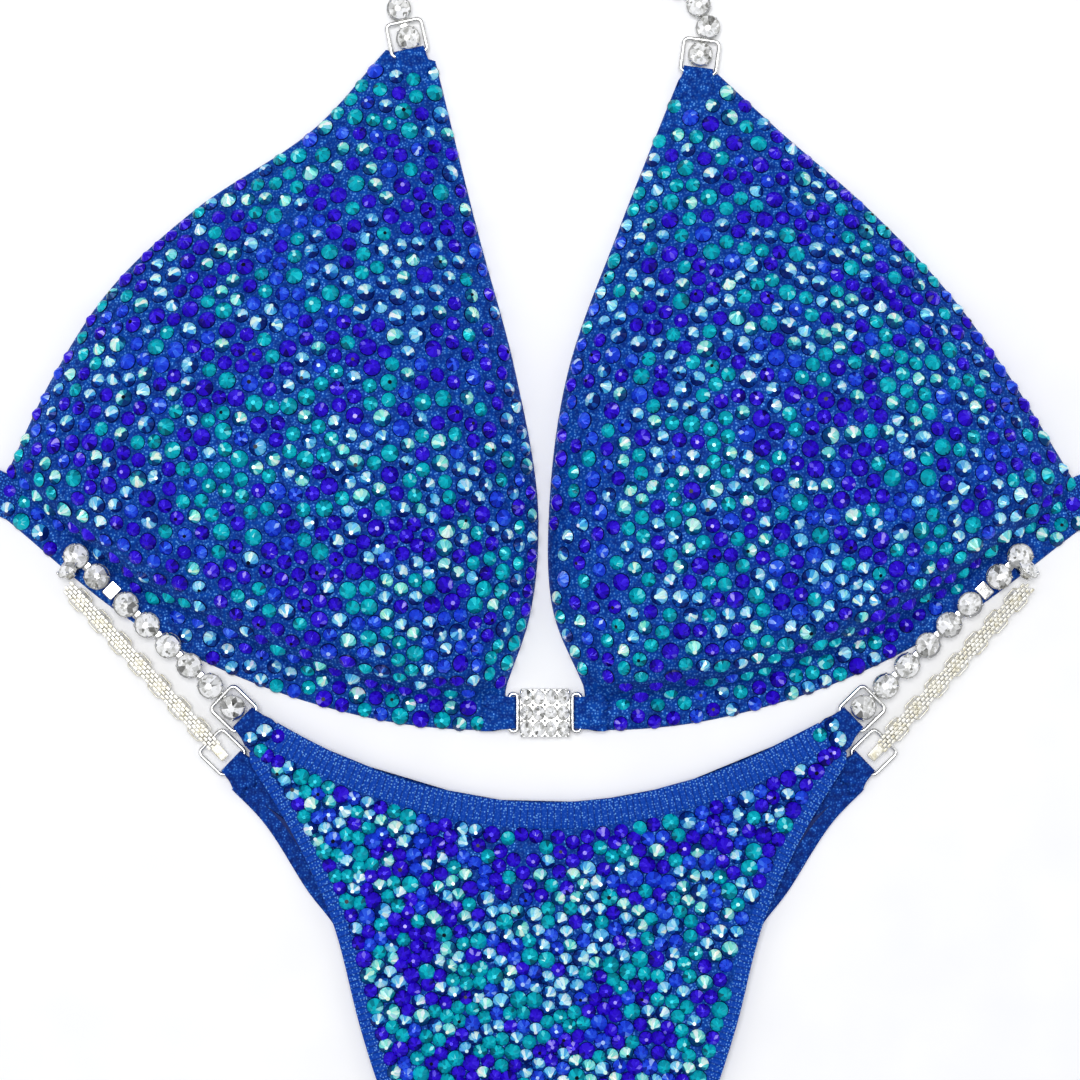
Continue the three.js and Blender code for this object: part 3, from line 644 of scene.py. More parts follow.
def scatter(outline, count, margin, rng, rounds=70):
    """Even, hand-placed looking points inside a closed line, with two sizes of radius: random points that
    push apart from neighbours nearer than their spacing and are pushed in from the edge."""
    low, high = outline.min(axis=0), outline.max(axis=0)
    points = np.empty((0, 2))
    while len(points) < count:
        p = rng.uniform(low, high, (count * 2, 2))
        points = np.vstack([points, p[signed_inside(outline, p)[0] > margin]])
    points = points[:count]
    radii = np.where(rng.random(count) < 0.22, 2.5, 2.1)
    area = flat_area(outline) * 1e6
    pitch = 1.07 * math.sqrt(area / count / 0.866)
    spacing = pitch * (radii[:, None] + radii[None]) / (2 * radii.mean())
    for step in range(rounds):
        d = points[:, None] - points[None]
        far = np.linalg.norm(d, axis=2) + np.eye(count) * 1e3
        push = np.clip(spacing - far, 0, None) * 0.28
        points = points + (d / far[..., None] * push[..., None]).sum(axis=1)
        inside, inward = signed_inside(outline, points)
        short = margin + radii - 2.1 - inside
        points = points + np.where(short > 0, short, 0)[:, None] * inward
    return points + rng.normal(0, 0.12, points.shape), radii


def drifts(points, rng):
    """The kind of each stone. Slow waves across the suit raise one kind's chance here and another's there."""
    names = list(STONE_SHARES)
    chance = np.array([STONE_SHARES[n] for n in names])[None, :] * np.ones((len(points), 1))
    for k in range(len(names)):
        swell = np.zeros(len(points))
        for _ in range(4):
            bearing, length, phase = (
                rng.uniform(0, 2 * math.pi), rng.uniform(38, 90), rng.uniform(0, 2 * math.pi)
            )
            swell += np.sin((points @ [math.cos(bearing), math.sin(bearing)]) * 2 * math.pi / length + phase)
        chance[:, k] *= np.exp(0.35 * swell)
    chance = np.cumsum(chance / chance.sum(axis=1)[:, None], axis=1)
    pick = (rng.random((len(points), 1)) > chance).sum(axis=1)
    kinds = np.array(names)[np.minimum(pick, len(names) - 1)]
    return kinds


HIP_HALF, HIP_RISE = 90, 24.3
HIP_HEADING = math.radians(44)
PANEL_MIDDLE = np.array([0.9, -78.3])
CHAIN_CLEAR = 5.2
# The folded centre casing stands above the cup, and is left bare.
CASING_TAIL, CASING_HALF = 9.5, 8.0
CUP_STONES = {"left": 800, "right": 770}
for number, (side, cup) in enumerate(cups.items()):
    rng = np.random.default_rng(40 + number)
    outline = cup["outline"]
    points, radii = scatter(outline, CUP_STONES[side], 2.0, rng)
    start = PANEL_MIDDLE * [SIDES[side], 1] + [HIP_HALF, HIP_RISE]
    along = np.array([math.cos(HIP_HEADING), math.sin(HIP_HEADING)])
    chain_line = np.array([start, start + 74 * along])
    tips = np.array(cup["tips"])
    clear = (distance_to(chain_line, points[:, 0], points[:, 1]) > CHAIN_CLEAR) & (
        np.linalg.norm(points - tips.mean(axis=0), axis=1) > 7.2
    )
    near_casing = (points[:, 0] < LOOP_BAR + CASING_TAIL) & (
        np.abs(points[:, 1] - CONNECTOR_LEVEL) < CASING_HALF
    )
    clear &= ~near_casing
    points, radii = points[clear], radii[clear]
    x, y = points.T
    step = 1.2
    slope_x = (cup_height(cup, x + step, y) - cup_height(cup, x - step, y)) / (2 * step)
    slope_y = (cup_height(cup, x, y + step) - cup_height(cup, x, y - step)) / (2 * step)
    slope = np.hypot(slope_x, slope_y)
    soften = np.minimum(1, 1.15 / np.maximum(slope, 1e-6))
    normals = np.stack([-slope_x * soften, -slope_y * soften, np.ones(len(x))], axis=1)
    normals += rng.normal(0, 0.05, normals.shape) * [1, 1, 0]
    places = np.stack([x, y, cup_height(cup, x, y) - 0.1], axis=1)
    # A stone tilted near the rim is lifted until its low side clears the table.
    lean = np.hypot(normals[:, 0], normals[:, 1]) / np.linalg.norm(normals, axis=1)
    places[:, 2] = np.maximum(places[:, 2], 1.12 * radii * lean)
    mirror = [SIDES[side], 1, 1]
    stone_piece(
        f"{side}_cup_stones", places * mirror, normals * mirror, radii, drifts(
            points * mirror[:2], rng
        ), f"{side}_cup", rng
    )

# ------------------------------------------------------------------ fabric folds round the wire
# At each ring and at the connector the fabric is folded over the wire and sewn down behind it,
# where the cut edge stays gathered.
joints = {j["name"]: j for j in frame["joints"]}
WIRE = 1.3
BORE = WIRE * math.sqrt(0.5) + GAP
SLEEVE = BORE + 0.5


def bar_frame(joint):
    """A ring bar's middle in layout millimetres and its heading away from the fabric, from its hinge."""
    place = np.array(joints[joint]["pos_m"]) * 1000 - layout_origin
    x, y, _ = joints[joint]["axis"]
    return place, np.array([-y, x, 0.0])


def in_plan(place, heading, points):
    """Points given along a heading, across it and up, in layout millimetres."""
    p = np.asarray(points, float)
    across = np.array([-heading[1], heading[0], 0.0])
    return place + p[..., :1] * heading + p[..., 1:2] * across + p[..., 2:] * [0.0, 0.0, 1.0]


def tube_faces(rings, around):
    """Faces of a tube of rings with flat ends."""
    faces = ring_faces(rings, around)[:, ::-1].tolist()
    last = (rings - 1) * around
    return [*faces, list(range(around)), list(range(last + around - 1, last - 1, -1))]


def fold_piece(name, place, heading, sleeve, tail, tail_width, rng, surface):
    """Fabric folded over a bar: a teardrop section, round at the bar and flat behind it, drawn across
    the fabric's width, which widens from the sleeve to the tail and ends in a gathered edge."""
    turn = np.radians(np.linspace(-115, 115, 15))
    round_part = np.stack([SLEEVE * np.cos(turn), SLEEVE * np.sin(turn)], axis=1)
    back = np.array([-0.3 * tail, -0.6 * tail, -0.85 * tail, -tail])
    thin = np.array([0.95, 0.8, 0.78, 0.55])
    section = np.vstack([round_part, np.stack([back, thin], axis=1), np.stack([back, -thin], axis=1)[::-1]])
    columns = 29
    across = np.linspace(-0.5, 0.5, columns)
    widen = smoothstep(-0.6, -5.0, section[:, 0])
    width = sleeve + (tail_width - sleeve) * widen
    edge = 0.7 * smoothstep(-0.6 * tail, -tail, section[:, 0])
    jag = rng.normal(0, 1, columns)
    wrinkle = 0.16 * np.sin(across * 2 * math.pi * 4.5 + rng.uniform(0, 6)) + 0.07 * jag
    along = section[None, :, 0] + (jag[:, None] * edge[None, :])
    side = across[:, None] * width[None, :]
    up = section[None, :, 1] * (
        1 - 0.12 * (2 * np.abs(across[:, None])) ** 4
    ) + wrinkle[:, None] * np.sign(section[None, :, 1]) * (0.4 + widen)
    points = in_plan(place, heading, np.stack([along, side, up], axis=-1)).reshape(-1, 3)
    faces = tube_faces(columns, len(section))
    return new_piece(name, points, faces, surface)


NECK_TAIL, NECK_TAIL_WIDTH = 8, 13
HIP_TAIL, HIP_TAIL_WIDTH = 8, 12.2
RING_SLEEVE = {"neck": 8.8, "hip": 8.2, "loop": 9.4}
rng = np.random.default_rng(7)
for side, sign in SIDES.items():
    place, heading = bar_frame(f"{side}_neck_ring_swing")
    apex = fold_piece(
        f"{side}_apex_fold",
        place,
        heading,
        RING_SLEEVE["neck"],
        NECK_TAIL,
        NECK_TAIL_WIDTH - 1.5,
        rng,
        foil_knit
    )
    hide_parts(f"{side}_apex_casing")
    place = np.array([sign * LOOP_BAR, CONNECTOR_LEVEL, SLEEVE])
    centre = fold_piece(
        f"{side}_centre_fold",
        place,
        np.array([-sign, 0.0, 0.0]),
        RING_SLEEVE["loop"],
        NECK_TAIL,
        11,
        rng,
        foil_knit
    )
    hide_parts(f"{side}_centre_casing")
    for fold in (apex, centre):
        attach(fold, f"{side}_cup")

# ------------------------------------------------------------------ back straps
# Flat elastic covered in the same knit, folded over a ring at its end and top-stitched.
STRAP_WIDTH, STRAP_LENGTH, STRAP_THICK = 12.6, 150, 1.6
strap_knit, tree, shader = material("knit over elastic, stitched")
where = add(tree, "ShaderNodeUVMap")
mm = add(tree, "ShaderNodeVectorMath", {"operation": "SCALE", "Scale": 1000}, {0: where.outputs[0]})
ribs = add(tree, "ShaderNodeTexWave", {"Scale": 0.32, "Distortion": 0.3}, {"Vector": mm.outputs[0]})
speckle = add(
    tree,
    "ShaderNodeTexVoronoi",
    {"voronoi_dimensions": "2D", "Scale": 1.05, "Randomness": 0.6},
    {"Vector": mm.outputs[0]}
)
shine = add(
    tree, "ShaderNodeMapRange", {"From Min": 0.32, "From Max": 0.18}, {"Value": speckle.outputs["Distance"]}
)
cloth = ramp(tree, ribs.outputs["Fac"], [(0.1, "#0A2C7C"), (0.9, "#0B3E9E")])
mixed = add(tree, "ShaderNodeMix", {"data_type": "RGBA"}, {"Factor": shine.outputs[0], 6: cloth})
mixed.inputs[7].default_value = linear("#3F82DA")
tree.links.new(mixed.outputs[2], shader.inputs["Base Color"])
bump = add(tree, "ShaderNodeBump", {"Strength": 0.35, "Distance": 0.0004}, {"Height": ribs.outputs["Fac"]})
tree.links.new(bump.outputs[0], shader.inputs["Normal"])
shader.inputs["Roughness"].default_value = 0.6
shader.inputs["Specular IOR Level"].default_value = 0.05


def band_piece(name, left, right, low, high, surface):
    """A closed strip between two lines of points with the same count; its thickness low to high is given
    for each point across, and its edges are rolled."""
    across = np.array([0, 0.02, 0.08, 0.3, 0.5, 0.7, 0.92, 0.98, 1.0])
    roll = np.array([0.35, 0.7, 1, 1, 1, 1, 1, 0.7, 0.35])
    flat = left[:, None, :] + (right - left)[:, None, :] * across[None, :, None]
    middle = (np.asarray(low) + np.asarray(high)) / 2
    half = (np.asarray(high) - np.asarray(low)) / 2
    top = np.broadcast_to(middle, flat.shape[:2]) + np.broadcast_to(half, flat.shape[:2]) * roll
    bottom = np.broadcast_to(middle, flat.shape[:2]) - np.broadcast_to(half, flat.shape[:2]) * roll
    upper = np.concatenate([flat, top[..., None]], axis=-1)
    lower = np.concatenate([flat, bottom[..., None]], axis=-1)[:, ::-1]
    ring = np.concatenate([upper, lower], axis=1)
    along = np.r_[0, np.cumsum(np.linalg.norm(np.diff((left + right) / 2, axis=0), axis=1))]
    width = np.linalg.norm(right - left, axis=1)
    v = width[:, None] * across[None, :]
    uv = np.stack(
        [np.broadcast_to(along[:, None], ring.shape[:2]), np.concatenate([v, v[:, ::-1]], axis=1)], axis=-1
    )
    return new_piece(
        name, ring.reshape(-1, 3), tube_faces(len(left), ring.shape[1]), surface, uv=uv.reshape(-1, 2)
    )


for side, sign in SIDES.items():
    cup = cups[side]
    place, heading = bar_frame(f"{side}_back_fastener_swing")
    steps = np.linspace(-STRAP_LENGTH - 4, -SLEEVE - 2.2, 90)
    sway = 0.35 * np.sin(steps / 17.0)
    zero = np.zeros(len(steps))
    edges = [
        in_plan(place, heading, np.stack([steps, k * STRAP_WIDTH / 2 + sway, zero], axis=1))[:, :2]
        for k in (-1, 1)
    ]
    ripple = (0.22 * np.sin(steps / 3.1) + 0.12 * np.sin(steps / 7.7))[:, None]
    strap = band_piece(f"{side}_strap", edges[1], edges[0], 0.05, STRAP_THICK + ripple, strap_knit)
    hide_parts(f"{side}_back_strap")
    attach(strap, f"{side}_cup")
    end = fold_piece(
        f"{side}_strap_end", place, heading, RING_SLEEVE["neck"], 6, STRAP_WIDTH - 1, rng, strap_knit
    )
    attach(end, f"{side}_cup")

# ------------------------------------------------------------------ wire rings, loops, hooks and eyes
# Bent from round wire, soldered shut and rhodium-plated.
bright_wire, tree, shader = material("rhodium-plated wire")
scratches = add(tree, "ShaderNodeTexNoise", {"Scale": 1400, "Detail": 4}, {"Vector": object_points(tree, 1)})
tree.links.new(
    ramp(tree, scratches.outputs["Fac"], [(0.3, "#D6D6D4"), (0.7, "#F0F0EE")]), shader.inputs["Base Color"]
)
gloss = add(tree, "ShaderNodeMapRange", {"To Min": 0.08, "To Max": 0.24}, {"Value": scratches.outputs["Fac"]})
tree.links.new(gloss.outputs[0], shader.inputs["Roughness"])
shader.inputs["Metallic"].default_value = 1.0


def swept(line, radius, closed, sides=12):
    """Points and faces of a round wire along a line of points."""
    line = np.asarray(line, float)
    if closed:
        ahead = np.roll(line, -1, axis=0) - np.roll(line, 1, axis=0)
    else:
        ahead = np.gradient(line, axis=0)
    ahead = ahead / np.linalg.norm(ahead, axis=1)[:, None]
    up = np.broadcast_to([0.0, 0.0, 1.0], ahead.shape)
    out = np.cross(ahead, up)
    out = out / np.maximum(np.linalg.norm(out, axis=1), 1e-9)[:, None]
    up = np.cross(out, ahead)
    turn = np.arange(sides) * 2 * math.pi / sides
    ring = line[:, None] + radius * (
        out[:, None] * np.cos(turn)[None, :, None] + up[:, None] * np.sin(turn)[None, :, None]
    )
    if closed:
        joined = np.concatenate([ring, ring[:1]])
        count = len(line) * sides
        faces = [[v % count for v in f] for f in ring_faces(len(joined), sides)[:, ::-1].tolist()]
        return ring.reshape(-1, 3), faces
    return ring.reshape(-1, 3), tube_faces(len(line), sides)


def merged(parts):
    """Several (points, faces) as one."""
    points, faces, base = [], [], 0
    for p, f in parts:
        points.append(p)
        faces += [[v + base for v in face] for face in f]
        base += len(p)
    return np.vstack(points), faces


def ring_line(reach, width, radius=1.5):
    """A rounded rectangle of wire: bars at 0 and reach, and sides at half the width less half the wire."""
    half = width / 2 - WIRE / 2
    corners = [
        (reach - radius, half - radius, 0),
        (radius, half - radius, 90),
        (radius, radius - half, 180),
        (reach - radius, radius - half, 270)
    ]
    line = []
    for x, y, start in corners:
        for angle in np.radians(np.linspace(start, start + 90, 7)):
            line.append((x + radius * math.cos(angle), y + radius * math.sin(angle), 0.0))
    return np.array(line)


def hook_line(start, tongue):
    """A flat J of wire from a ring's far bar."""
    tip = start + tongue
    return smooth_line(
        [
            (start, 2.2, 0),
            (start + 1.8, 2.9, 0),
            (tip - 2, 3.0, 0),
            (tip - 0.6, 1.4, 0),
            (tip - 0.6, -1.4, 0),
            (tip - 2, -3.0, 0),
            (start + 4.4, -3.0, 0)
        ], 48
    )


RING_SIZES = {"neck": (9.97, 12.0), "hip": (10.37, 11.4), "strap": (10.0, 12.0)}
EYE_ROOM, TONGUE = 6, 9
for side in SIDES:
    for joint, node, size, extra, hooked in (
        ("neck_ring_swing", f"{side}_neck_ring", "neck", 0, False),
        (
            "neck_clasp_swing",
            "neck_hook" if side == "left" else "neck_eye",
            "neck",
            0 if side == "left" else EYE_ROOM,
            side == "left"
        ),
        ("back_fastener_swing", "back_hook" if side == "left" else "back_eye", "strap", 0, side == "left"),
        ("front_ring_swing", f"{side}_front_hip_ring", "hip", 0, False),
        ("back_ring_swing", f"{side}_back_hip_ring", "hip", 0, False),
    ):
        place, heading = bar_frame(f"{side}_{joint}")
        reach, width = RING_SIZES[size]
        parts = [swept(ring_line(reach + extra, width), WIRE / 2, True)]
        if hooked:
            parts.append(swept(hook_line(reach, TONGUE), WIRE / 2, False))
        points, faces = merged(parts)
        ring = new_piece(f"{node}_wire", in_plan(place, heading, points), faces, bright_wire)
        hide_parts(node)
        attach(ring, joints[f"{side}_{joint}"]["child"])

# ------------------------------------------------------------------ neck and hip cup chains
# Round crystals held by claws in tapered settings, joined underneath by small link plates.
clear_glass, tree, shader = material("foil-backed clear cut glass")
# The base colour is the facets' painted light, multiplied by small cells of painted glints and dark
# reflections.
cells = add(tree, "ShaderNodeTexVoronoi", {"Scale": 1150}, {"Vector": object_points(tree, 1)})
glints = ramp(tree, cells.outputs["Color"], [(0.1, "#84847F"), (0.26, "#D4D4D0"), (0.5, "#FFFFFF")])
cut = add(tree, "ShaderNodeMix", {"data_type": "RGBA", "blend_type": "MULTIPLY"})
cut.inputs["Factor"].default_value = 1.0
tree.links.new(facet_colour_and_painted_light(tree, "facet"), cut.inputs["A"])
tree.links.new(glints, cut.inputs["B"])
tree.links.new(cut.outputs["Result"], shader.inputs["Base Color"])
shader.inputs["Metallic"].default_value = 0.1
haze = add(tree, "ShaderNodeTexNoise", {"Scale": 900}, {"Vector": object_points(tree, 1)})
gloss = add(tree, "ShaderNodeMapRange", {"To Min": 0.04, "To Max": 0.12}, {"Value": haze.outputs["Fac"]})
tree.links.new(gloss.outputs[0], shader.inputs["Roughness"])


def lathe(profile, sides):
    """A closed turned shape from (radius, height) pairs; the first and last are closed with flat faces."""
    turn = np.arange(sides) * 2 * math.pi / sides
    rings = [np.stack([r * np.cos(turn), r * np.sin(turn), np.full(sides, h)], axis=1) for r, h in profile]
    return np.vstack(rings), [f[::-1] for f in tube_faces(len(profile), sides)]


def pebble(power, sides=8, rows=5):
    """A small rounded shape of radius 1: a sphere whose coordinates are raised to a power, squarer for
    small powers."""
    profile = [(max(math.sin(a), 0.02), math.cos(a)) for a in np.linspace(math.pi, 0, rows + 2)]
    points, faces = lathe(profile, sides)
    return np.sign(points) * np.abs(points) ** power, faces


def copies(shape, places, sizes, headings=None):
    """A (points, faces) shape repeated at places, with sizes along three axes and turns about up."""
    points, faces = shape
    places, sizes = np.atleast_2d(places), np.broadcast_to(sizes, (len(places), 3))
    turn = np.zeros(len(places)) if headings is None else np.broadcast_to(headings, len(places))
    c, s = np.cos(turn)[:, None], np.sin(turn)[:, None]
    p = points[None] * sizes[:, None]
    x = p[..., 0] * c - p[..., 1] * s
    y = p[..., 0] * s + p[..., 1] * c
    whole = np.stack([x, y, p[..., 2]], axis=-1) + places[:, None]
    base = np.arange(len(places)) * len(points)
    return whole.reshape(-1, 3), [[v + b for v in f] for b in base for f in faces]


def setting_middles(node, radius):
    """Middles of a chain node's settings in layout millimetres, found from the rims of their tops."""
    points = np.array([v.co for v in frame["nodes"][node].data.vertices], float) * 1000 - layout_origin
    top = points[:, 2].max()
    rim = np.unique(np.round(points[points[:, 2] > top - 0.05], 2), axis=0)
    middles = []
    while len(rim):
        near = np.linalg.norm(rim[:, :2] - rim[0, :2], axis=1) < 2 * radius + 0.2
        middle = rim[near][:, :2].mean(axis=0)
        middles.append(middle)
        rim = rim[~near]
    return np.array(middles), top


def ordered(middles, start):
    """The middles as a walk from the one nearest to start, always on to the nearest next."""
    left, walk = list(range(len(middles))), []
    at = np.asarray(start)
    while left:
        k = min(left, key=lambda i: np.linalg.norm(middles[i] - at))
        at = middles[k]
        walk.append(k)
        left.remove(k)
    return middles[walk]


def chain_pieces(name, middles, low, radius, pitch, height, body, rng, nodes):
    """Settings with claws and link plates as one piece, and their crystals as another."""
    step = np.gradient(middles, axis=0)
    headings = np.arctan2(step[:, 1], step[:, 0])
    place = np.c_[middles, np.full(len(middles), low)]
    wall = lathe([(0.8, 0.0), (0.86, 0.35), (0.97, 0.62), (1.0, 0.66), (0.99, 0.7)], 20)
    parts = [copies(wall, place, (radius, radius, height), headings)]
    for k in range(4):
        angle = headings + math.pi / 4 + k * math.pi / 2
        claw = place + np.stack(
            [
                0.95 * radius * np.cos(angle),
                0.95 * radius * np.sin(angle),
                np.full(len(place), 0.74 * height)
            ],
            axis=1
        )
        parts.append(copies(pebble(1.0, 6, 3), claw, (0.62, 0.5, 0.52), angle))
    between = (place[1:] + place[:-1]) / 2
    gaps = np.diff(place, axis=0)
    short = np.linalg.norm(gaps, axis=1) < 1.35 * pitch
    link_turn = np.arctan2(gaps[:, 1], gaps[:, 0])[short]
    parts.append(copies(pebble(0.4), between[short] + [0, 0, 0.9], (1.5, 1.5, 0.6), link_turn))
    points, faces = merged(parts)
    settings = new_piece(f"{name}_settings", points, faces, bright_wire)
    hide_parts(*nodes)
    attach(settings, body)
    normals = rng.normal(0, 0.07, (len(place), 3)) + [0, 0, 1]
    stone_piece(
        f"{name}_crystals", place + [0, 0, 0.6 * height], normals, np.full(len(place), 0.97 * radius),
        np.full(len(place), "clear"), body, rng, clear_glass, 0.62,
    )


NECK_SETTING, NECK_PITCH, NECK_RISE = 3.5, 8.0, 3.6
HIP_SETTING, HIP_PITCH = 3.7, 8.75
for number, side in enumerate(SIDES):
    rng = np.random.default_rng(60 + number)
    place, _ = bar_frame(f"{side}_neck_ring_swing")
    for run in ("inner", "outer"):
        node = f"{side}_neck_chain_{run}"
        middles, top = setting_middles(node, NECK_SETTING)
        middles = ordered(middles, place[:2])
        place = np.array([*middles[-1], 0.0])
        chain_pieces(node, middles, 0.0, NECK_SETTING, NECK_PITCH, NECK_RISE, node, rng, [node])
    node = f"{side}_front_chain"
    middles, top = setting_middles(node, HIP_SETTING)
    place, heading = bar_frame(f"{side}_front_ring_swing")
    middles = ordered(middles, place[:2])
    chain_pieces(node, middles, top - NECK_RISE, HIP_SETTING, HIP_PITCH, NECK_RISE, node, rng, [node])
    # A plain flat link joins the sixth setting to the last two, near the fold.
    gaps = np.linalg.norm(np.diff(middles, axis=0), axis=1)
    k = int(gaps.argmax())
    middle = np.array([*(middles[k] + middles[k + 1]) / 2, top - NECK_RISE + 1.1])
    turn = math.atan2(heading[1], heading[0])
    frame_shape = copies(pebble(0.16, 20, 7), [middle], (1.9, 2.4, 0.9), turn)
    link = new_piece(f"{side}_flat_link", *frame_shape, bright_wire, smooth=False)
    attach(link, node)
    # Past its last setting the chain turns over, through one setting seen on edge.
    back_place, back_heading = bar_frame(f"{side}_back_chain_swing")
    rope_end = in_plan(back_place, back_heading, np.array([60.0, 0.0, 0.0]))
    seat = (np.array([*middles[-1], 0.0]) + rope_end) / 2 + 2.5 * back_heading
    seat[2] = top - NECK_RISE / 2
    facing = np.array([back_heading * 0.85 + [0, 0, 0.55]])
    axes = frames_for(facing, np.zeros(1))[0]
    wall = lathe([(0.8, 0.0), (0.86, 0.35), (0.97, 0.62), (1.0, 0.66), (0.99, 0.7)], 20)
    corner = math.pi / 4 + np.arange(4) * math.pi / 2
    grips = HIP_SETTING * 0.95 * np.stack(
        [np.cos(corner), np.sin(corner), 0 * corner], axis=1
    ) + [0, 0, 0.74 * NECK_RISE]
    points, faces = merged([
        copies(
            wall, [np.zeros(3)], (HIP_SETTING, HIP_SETTING, NECK_RISE)
        ), copies(pebble(1.0, 6, 3), grips, (0.55, 0.55, 0.52))
    ])
    turned = (points - [0, 0, NECK_RISE / 2]) @ axes + seat
    edge_setting = new_piece(f"{side}_fold_setting", turned, faces, bright_wire)
    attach(edge_setting, node)
    stone_piece(
        f"{side}_fold_crystal", np.array(
            [seat + 0.1 * NECK_RISE * axes[2]]
        ), facing, np.array([0.97 * HIP_SETTING]),
        np.array(["clear"]), node, rng, clear_glass, 0.62,
    )

# ------------------------------------------------------------------ hip chains seen from the back
# The same chain turned face down after its fold: rows of small brick-like links, with the settings'
# curved sides bulging past them.
mesh_silver, tree, shader = material("worn rhodium plate with tarnished gaps")
dirt = add(tree, "ShaderNodeTexNoise", {"Scale": 700, "Detail": 3}, {"Vector": object_points(tree, 1)})
tree.links.new(
    ramp(tree, dirt.outputs["Fac"], [(0.3, "#BDB69C"), (0.5, "#D9D6CA"), (0.8, "#EDEDEA")]),
    shader.inputs["Base Color"]
)
gloss = add(tree, "ShaderNodeMapRange", {"To Min": 0.15, "To Max": 0.4}, {"Value": dirt.outputs["Fac"]})
tree.links.new(gloss.outputs[0], shader.inputs["Roughness"])
shader.inputs["Metallic"].default_value = 0.3
ROPE_TOP = 3.55
for side, sign in SIDES.items():
    place, heading = bar_frame(f"{side}_back_chain_swing")
    low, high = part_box(f"{side}_back_chain")
    turn = math.atan2(heading[1], heading[0])
    reach = 62.6
    brick = pebble(0.2, 8, 5)
    rows = []
    for row in range(4):
        along = np.arange(-2.2 + 0.85 * (row % 2), reach, 1.7)
        rows.append(
            np.stack(
                [
                    along,
                    np.full(len(along), (row - 1.5) * 1.02),
                    np.full(len(along), ROPE_TOP - place[2] - 0.45)
                ],
                axis=1
            )
        )
    bricks = np.vstack(rows)
    bricks[:, 2] += rng.normal(0, 0.05, len(bricks))
    parts = [copies(brick, in_plan(place, heading, bricks), (0.76, 0.43, 0.42), turn)]
    stations = np.arange(4.65, reach - 2, HIP_PITCH)
    cups_down = np.stack([stations, 0 * stations, np.full(len(stations), 0.35 - place[2])], axis=1)
    parts.append(
        copies(
            lathe([(1.0, 0.0), (1.0, 0.3), (0.93, 0.75), (0.8, 1.0)], 20),
            in_plan(place, heading, cups_down),
            (2.3, 2.3, 2.3),
            turn
        )
    )
    side_bend = ring_line(5.2, 6.9, 1.0)
    for station in stations:
        bent, faces = swept(side_bend + [station - 2.6, 0, ROPE_TOP - place[2] - 1.1], 0.26, True)
        parts.append((in_plan(place, heading, bent), faces))
    ends = [(-4.65, 0, ROPE_TOP - place[2] - 0.55)]
    parts.append(copies(pebble(0.25, 12, 7), in_plan(place, heading, np.array(ends)), (2.6, 1.5, 0.55), turn))
    points, faces = merged(parts)
    rope = new_piece(f"{side}_chain_back", points, faces, mesh_silver, smooth=False)
    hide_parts(f"{side}_back_chain")
    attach(rope, f"{side}_back_chain")

# ------------------------------------------------------------------ centre connector
# A cast plate with three rows of four small crystals in claws, and a wire loop on each side.
BLOCK_WIDTH, BLOCK_HEIGHT, BLOCK_THICK = 15.0, 14.7, 4.0
middle = np.array([0.0, CONNECTOR_LEVEL, 0.0])
plate_line = ring_line(BLOCK_WIDTH - 0.2, BLOCK_HEIGHT + WIRE - 0.2, 0.8) - [BLOCK_WIDTH / 2 - 0.1, 0, 0]
levels = [(0.97, 0.1), (1.0, 0.4), (1.0, 2.3), (0.96, 2.7)]
slab = np.vstack([plate_line * [k, k, 0] + [0, 0, z] + middle for k, z in levels])
parts = [(slab, tube_faces(len(levels), len(plate_line)))]
grid = np.array([(x, y) for y in (-4.7, 0, 4.7) for x in (-5.5, -1.83, 1.83, 5.5)])
seats = middle + np.c_[grid, np.full(len(grid), 2.1)]
parts.append(copies(lathe([(0.9, 0.0), (1.0, 0.6), (0.98, 1.0)], 16), seats, (1.75, 2.1, 0.9)))
claws = np.array([(x, y) for y in (-7.0, -2.35, 2.35, 7.0) for x in (-7.2, -3.66, 0, 3.66, 7.2)])
parts.append(
    copies(
        pebble(1.0, 6, 3),
        middle + np.c_[np.clip(claws, -6.9, 6.9), np.full(len(claws), 3.1)],
        (0.55, 0.55, 0.6)
    )
)
points, faces = merged(parts)
plate = new_piece("connector_plate", points, faces, bright_wire, smooth=False)
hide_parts("connector_block")
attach(plate, "centre_connector")
rng = np.random.default_rng(90)
crystals = stone_piece(
    "connector_crystals", seats + [0, 0, 0.7], rng.normal(0, 0.06, (12, 3)) + [0, 0, 1], np.full(12, 1.78),
    np.full(12, "clear"), "centre_connector", rng, clear_glass, 0.8,
)
# The crystals fill their seats, which are taller than they are wide.
spots = np.array([v.co for v in crystals.data.vertices]).reshape(len(seats), -1, 3)
spots[..., 1] += 0.22 * (spots[..., 1] - spots[..., 1].mean(axis=1, keepdims=True))
crystals.data.vertices.foreach_set("co", spots.ravel())
LOOP_WIDTH, NEAR_BAR = 12.6, 8.25
for side, sign in SIDES.items():
    bend = ring_line(LOOP_BAR - NEAR_BAR, LOOP_WIDTH, 1.0) + [NEAR_BAR, 0, 0]
    points, faces = swept(bend, WIRE / 2, True)
    wire = new_piece(
        f"connector_wire_{side}",
        in_plan(np.array([0, CONNECTOR_LEVEL, SLEEVE]), np.array([sign, 0.0, 0.0]), points),
        faces,
        bright_wire
    )
    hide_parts(f"connector_loop_{side}")
    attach(wire, "centre_connector")

# ------------------------------------------------------------------ panels of the bottom
# Front and back cut from the same knit. The front is stoned; both are lined, hemmed with elastic
# at the waist and legs, and sewn together at the crotch.
PANEL_DROP, CROTCH_HALF = 162, 22
BACK_SET, HIP_SPREAD = 6.5, 12.1
HEM_WIDTH, LEG_WIDTH = 8.0, 4.4


def hip_corner(along, across):
    """A point by the right hip ring's bar, measured along and across its heading."""
    c, s = math.cos(HIP_HEADING), math.sin(HIP_HEADING)
    return np.array([HIP_HALF + c * along + s * across, HIP_RISE + s * along - c * across])


